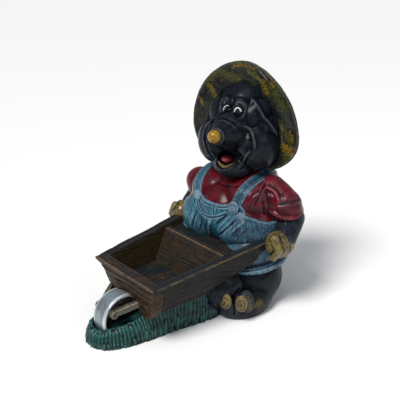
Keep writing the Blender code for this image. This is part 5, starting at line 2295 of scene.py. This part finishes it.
@dataclass
class Wheel:
    """Moulded wheel with a silver tread, two fork arms and their hubs."""

    radius: float = 0.0345
    wide: float = 0.029
    y: float = -0.1960
    up: float = 0.0310
    segments: int = 144

    def tyre(self) -> bpy.types.Object:
        """Tyre with a rounded tread and dished, rough sides.

        Returns:
            The tyre.
        """
        half = [
            (0.0030, 0.0092), (0.0080, 0.0088), (0.0105, 0.0082), (0.0120, 0.0070),
            (0.0170, 0.0072), (0.0230, 0.0077), (0.0275, 0.0084), (0.0288, 0.0105),
            (0.0300, 0.0132), (0.0322, self.wide / 2), (0.0338, 0.0138),
            (self.radius, 0.0112), (self.radius + 0.0005, 0.0056), (self.radius + 0.0006, 0.0),
        ]
        outline = [(radius, -depth) for radius, depth in half]
        outline += [(radius, depth) for radius, depth in reversed(half[:-1])]
        rings = [[spot(depth, self.y + radius * c, self.up + radius * s)
                  for c, s in circle(self.segments, closed=False)] for radius, depth in outline]
        tyre = loft("wheel", rings)
        reskin(tyre, 0.0007, 3)
        skin = Skin(tyre)
        place = skin.points - np.array(spot(0.0, self.y, self.up)[:])
        away = np.hypot(place[:, 1], place[:, 2])
        turn = np.arctan2(place[:, 2], place[:, 1])
        brushed = cloud(np.stack([place[:, 0], turn * 0.02, away], axis=1), 0.0022, 161, 2,
                        (0.5, 6.0, 1.0))
        rough = cloud(skin.points, 0.0030, 163)
        tread = np.clip((away - 0.0282) / 0.0012, 0.0, 1.0)
        skin.push(tread * brushed * 0.00018 + (1.0 - tread) * rough * 0.0006)
        skin.settle()
        edge = 0.0283 + 0.0007 * cloud(
            np.stack([turn * 0.03, away * 0.0, away * 0.0], axis=1), 0.0035, 165)
        skin.mask("silver", np.clip((away - edge) / 0.0006, 0.0, 1.0))
        # Painted highlight along both shoulders of the tread, and pale streaks round it.
        lip = np.exp(-((np.abs(place[:, 0]) - 0.0128) / 0.0022) ** 2) * (away > 0.0290)
        streak = 0.5 + 0.5 * cloud(np.stack([place[:, 0], turn * 0.02, away * 0.0], axis=1),
                                   0.0016, 167, 2, (0.7, 9.0, 1.0))
        skin.mask("bright", lip * 0.95 + 0.45 * streak * tread)
        skin.relief(fine=3, broad=12, fine_depth=0.00010, broad_depth=0.0006)
        return tyre

    def fork(self, side: int) -> bpy.types.Object:
        """Fork arm from the tray to the hub, with its rounded boss.

        Args:
            side: 1 for the figure's left, -1 for its right.

        Returns:
            The arm.
        """
        rings = []
        for x, y, up in ((0.0165, -0.2170, 0.0450), (0.0370, -0.1800, 0.0600)):
            rings.append([spot(side * (x + dx), y, up + dz) for dx, dz in (
                (-0.0035, -0.0045), (0.0035, -0.0045), (0.0035, 0.0045), (-0.0035, 0.0045))])
        let_go()
        bpy.ops.mesh.primitive_cylinder_add(
            vertices=48, radius=0.0060, depth=0.018, rotation=(0.0, math.pi / 2, 0.0),
            location=spot(side * 0.0125, -0.2160, 0.0445))
        clay = Clay(sided("fork", side))
        clay.add(join("hub", [bpy.context.object]))
        clay.add(loft("arm", rings))
        fork = clay.knead(0.0006, 5)
        skin = Skin(fork)
        skin.push(cloud(skin.points, 0.006, 171 + side) * 0.0005)
        skin.swell(spot(side * 0.0215, -0.2160, 0.0445), 0.0025, -0.0008)
        skin.settle()
        skin.relief(fine=3, broad=12, fine_depth=0.00010, broad_depth=0.0005)
        return fork

    def build(self) -> None:
        """Make and paint the wheel and its fork."""
        hand_over(self.tyre(), TYRE_PAINT)
        for side in (-1, 1):
            hand_over(self.fork(side), FORK_PAINT)


# --- grass --------------------------------------------------------------------------------


@dataclass
class Grass:
    """Low mound covered in upright blades, flat underneath."""

    floor_up: float = 0.058
    blade_wide: float = 0.0053
    blade_relief: float = 0.0021
    around: int = 1300
    dip_front: float = -0.160
    tray_front: float = -0.186
    dip_deep: float = 0.0135
    ease: float = 0.012

    def outline(self, count: int) -> np.ndarray:
        """Evenly spaced points round the foot of the mound, as (x, y).

        Args:
            count: how many points there are.

        Returns:
            Array of shape (count, 2), in metres.
        """
        half = [(0.0, -0.2455), (0.0225, -0.2380), (0.0365, -0.2130), (0.0430, -0.1800),
                (0.0480, -0.1300), (0.0560, -0.0800), (0.0540, -0.0400), (0.0500, 0.0200),
                (0.0360, 0.0650), (0.0, 0.0800)]
        corners = half + [(-x, y) for x, y in reversed(half[1:-1])]
        closed = np.array([(*corner, 0.0) for corner in corners[-2:] + corners + corners[:2]])
        line = curved(closed, 40)[80:-40, :2]
        steps = np.hypot(*np.diff(line, axis=0).T)
        run = np.concatenate([[0.0], np.cumsum(steps)])
        wanted = np.linspace(0.0, run[-1], count, endpoint=False)
        return np.stack([np.interp(wanted, run, line[:, k]) for k in range(2)], axis=1)

    def top(self, y: np.ndarray) -> np.ndarray:
        """Height of the mound along the barrow.

        Args:
            y: places along the barrow, in metres.

        Returns:
            Heights in metres.
        """
        knots = [(-0.250, 0.020), (-0.232, 0.027), (-0.205, 0.030), (-0.170, 0.040),
                 (-0.150, self.floor_up - 0.0060), (-0.092, self.floor_up - 0.0040),
                 (-0.050, 0.062), (-0.020, 0.060), (0.080, 0.030)]
        return np.interp(y, [knot[0] for knot in knots], [knot[1] for knot in knots])

    def blades(self, run: np.ndarray, height: np.ndarray, top: np.ndarray) -> np.ndarray:
        """How far the rows of blades stand out.

        Args:
            run: metres round the mound.
            height: metres above the ground.
            top: height of the mound there.

        Returns:
            Metres outwards.
        """
        out = np.zeros(len(run))
        for row, (tall, base, wide) in enumerate(((1.05, 0.0, 1.0), (0.66, 0.55, 0.9))):
            wide = self.blade_wide * wide
            lean = 0.0016 * np.sin(run / 0.019 + row * 2.1 + height * 60.0)
            lean = lean + 0.10 * np.sin(run / 0.043 + row) * height
            place = (run + lean + 0.0009 * np.sin(run / 0.0071)) / wide + 0.37 * row
            index = np.floor(place)
            across = 2.0 * (place - index) - 1.0
            mixed = np.sin(index * 12.9898 + row * 78.233) * 43758.5453
            share = mixed - np.floor(mixed)
            tip = top * (tall * (0.80 + 0.28 * share) if row == 0 else tall * (share - 0.25))
            tip = tip - wide * 1.1 * (1.0 - np.sqrt(np.clip(1.0 - across ** 2, 0.0, 1.0)))
            shape = np.clip(1.0 - np.abs(across) ** 2.2, 0.0, 1.0) ** 0.65
            shape = shape * (1.0 + 0.35 * across * (share - 0.3))
            inside = np.clip((tip - height) / 0.0009, 0.0, 1.0)
            stands = (base + shape * (0.8 + 0.4 * share)) * self.blade_relief * inside
            out = np.maximum(out, stands)
        return out - self.blade_relief * 0.9

    def build(self) -> None:
        """Make and paint the mound."""
        foot = self.outline(self.around)
        ahead = np.roll(foot, -3, axis=0)
        behind = np.roll(foot, 3, axis=0)
        along = ahead - behind
        along /= np.linalg.norm(along, axis=1)[:, None]
        outward = np.stack([along[:, 1], -along[:, 0]], axis=1)
        steps = np.hypot(*np.diff(foot, axis=0).T)
        run = np.concatenate([[0.0], np.cumsum(steps)])
        top = self.top(foot[:, 1])
        rises = np.concatenate([np.linspace(0.0, 0.97, 34), [1.0]])
        rings = []
        for rise in rises:
            inset = np.interp(rise, [0.0, 0.25, 0.80, 1.0], [-0.0006, -0.0012, 0.0030, 0.0090])
            height = top * rise
            out = self.blades(run, height, top) - inset
            spots = foot + outward * out[:, None]
            rings.append([spot(x, y, z) for (x, y), z in zip(spots, height)])
        for share in (0.04, 0.09, 0.15, 0.22, 0.30, 0.40, 0.52, 0.66, 0.80):
            ring = []
            for (x, y), z, own in zip(foot + outward * -0.0090, top, run):
                dip, rest = (min(1.0, max(0.0, (edge - y) / self.ease))
                             for edge in (self.dip_front, self.tray_front))
                hollow = dip * (self.dip_deep - 0.0045 * rest)
                middle = Vector((0.0, max(-0.225, min(0.055, y)), z + 0.003))
                tuft = 0.0010 * math.sin(own / self.blade_wide * math.tau) * (1.0 - share)
                point = Vector((x, y, z + tuft)).lerp(middle, share) + SHIFT
                point.z -= hollow * min(1.0, share / 0.13) ** 1.3
                ring.append(point)
            rings.append(ring)
        grass = loft("grass", rings)
        skin = Skin(grass)
        low = skin.points[:, 2] < 0.0004
        skin.push(np.where(low, 0.0, cloud(skin.points, 0.012, 181) * 0.0007))
        skin.points[low, 2] = 0.0
        skin.settle()
        # Painted shade at the foot of the mound, darker towards the ground.
        skin.painted_shade = np.clip(1.15 - skin.points[:, 2] / 0.0065, 0.0, 1.0)
        skin.relief(fine=3, broad=14, fine_depth=0.00018, broad_depth=0.0010)
        hand_over(grass, GRASS_PAINT)


# --- studio -------------------------------------------------------------------------------


@dataclass
class Studio:
    """Pale floor, soft light and the camera."""

    azimuth: float = 48.93
    elevation: float = 20.50
    distance: float = 1.0569
    lens: float = 63.0
    shift_x: float = -0.0618
    shift_y: float = -0.0280
    aim: Point = (-0.0059278, 0.0688639, 0.17)
    floor_size: float = 60.0
    key_azimuth: float = 8.0
    key_elevation: float = 54.0
    key_strength: float = 2.85
    key_softness: float = 24.0
    surround: float = 0.28

    @staticmethod
    def seen_from(azimuth: float, elevation: float) -> tuple[Vector, Euler]:
        """Direction from the figure to a lamp or camera, and how that thing is turned.

        Args:
            azimuth: degrees to the right of the front.
            elevation: degrees above the floor.

        Returns:
            The unit vector and the rotation.
        """
        turn, rise = math.radians(azimuth), math.radians(elevation)
        back = Vector((math.sin(turn) * math.cos(rise), -math.cos(turn) * math.cos(rise),
                       math.sin(rise)))
        return back, (-back).to_track_quat("-Z", "Y").to_euler()

    def floor(self) -> None:
        """Wide pale floor under the figure."""
        let_go()
        bpy.ops.mesh.primitive_plane_add(size=self.floor_size)
        floor = bpy.context.object
        floor.name = "studio_floor"
        paper = bpy.data.materials.new("pale_paper")
        paper.use_nodes = True
        shader = paper.node_tree.nodes["Principled BSDF"]
        shader.inputs["Base Color"].default_value = (0.96, 0.96, 0.96, 1.0)
        shader.inputs["Roughness"].default_value = 0.85
        floor.data.materials.append(paper)
        floor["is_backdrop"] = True

    def lamp(self, name: str, azimuth: float, elevation: float, distance: float, size: float,
             watts: float, colour: Colour) -> None:
        """Hang a soft square lamp that faces the figure.

        Args:
            name: name of the lamp.
            azimuth: degrees to the right of the front.
            elevation: degrees above the floor.
            distance: metres from the figure.
            size: width in metres.
            watts: its power.
            colour: its colour.
        """
        back, turned = self.seen_from(azimuth, elevation)
        bpy.ops.object.light_add(type="AREA", location=Vector(self.aim) + back * distance,
                                 rotation=turned)
        lamp = bpy.context.object
        lamp.name = name
        lamp.data.shape = "SQUARE"
        lamp.data.size = size
        lamp.data.energy = watts
        lamp.data.color = colour

    def lights(self) -> None:
        """Soft key from the upper left, a wide fill, and a pale surround."""
        self.lamp("fill_lamp", 100.0, 28.0, 1.8, 0.7, 3.0, (0.94, 0.97, 1.0))
        self.lamp("top_lamp", 60.0, 80.0, 1.6, 0.8, 3.0, (1.0, 1.0, 1.0))
        back, turned = self.seen_from(self.key_azimuth, self.key_elevation)
        bpy.ops.object.light_add(type="SUN", location=Vector(self.aim) + back * 1.6,
                                 rotation=turned)
        key = bpy.context.object
        key.name = "key_lamp"
        key.data.energy = self.key_strength
        key.data.angle = math.radians(self.key_softness)
        key.data.color = (1.0, 0.99, 0.97)
        world = bpy.data.worlds.new("pale_surround")
        world.use_nodes = True
        sky = world.node_tree.nodes["Background"]
        sky.inputs["Color"].default_value = (0.93, 0.95, 1.0, 1.0)
        sky.inputs["Strength"].default_value = self.surround
        bpy.context.scene.world = world
        bpy.context.scene.view_settings.view_transform = "Standard"

    def camera(self) -> None:
        """Camera at the photo's angle."""
        back, turned = self.seen_from(self.azimuth, self.elevation)
        bpy.ops.object.camera_add(location=Vector(self.aim) + back * self.distance,
                                  rotation=turned)
        camera = bpy.context.object
        camera.name = "photo_camera"
        camera.data.lens = self.lens
        camera.data.sensor_width = 36.0
        camera.data.shift_x = self.shift_x
        camera.data.shift_y = self.shift_y
        bpy.context.scene.camera = camera

    def build(self) -> None:
        """Set up floor, lights and camera."""
        self.floor()
        self.lights()
        self.camera()


# --- main ---------------------------------------------------------------------------------


def main() -> None:
    """Build every piece in order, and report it."""
    logging.basicConfig(level=logging.INFO, format="%(message)s")
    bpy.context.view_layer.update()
    Head().build()
    StrawHat().build()
    core = Shirt().build()
    Dungarees().build(core)
    for side, (back, inward) in ARM_PLACES.items():
        Arm(side, back, inward).build()
    for side in (-1, 1):
        Leg(side).build()
    Barrow().build()
    Wheel().build()
    Grass().build()
    Studio().build()


if __name__ == "__main__":
    main()
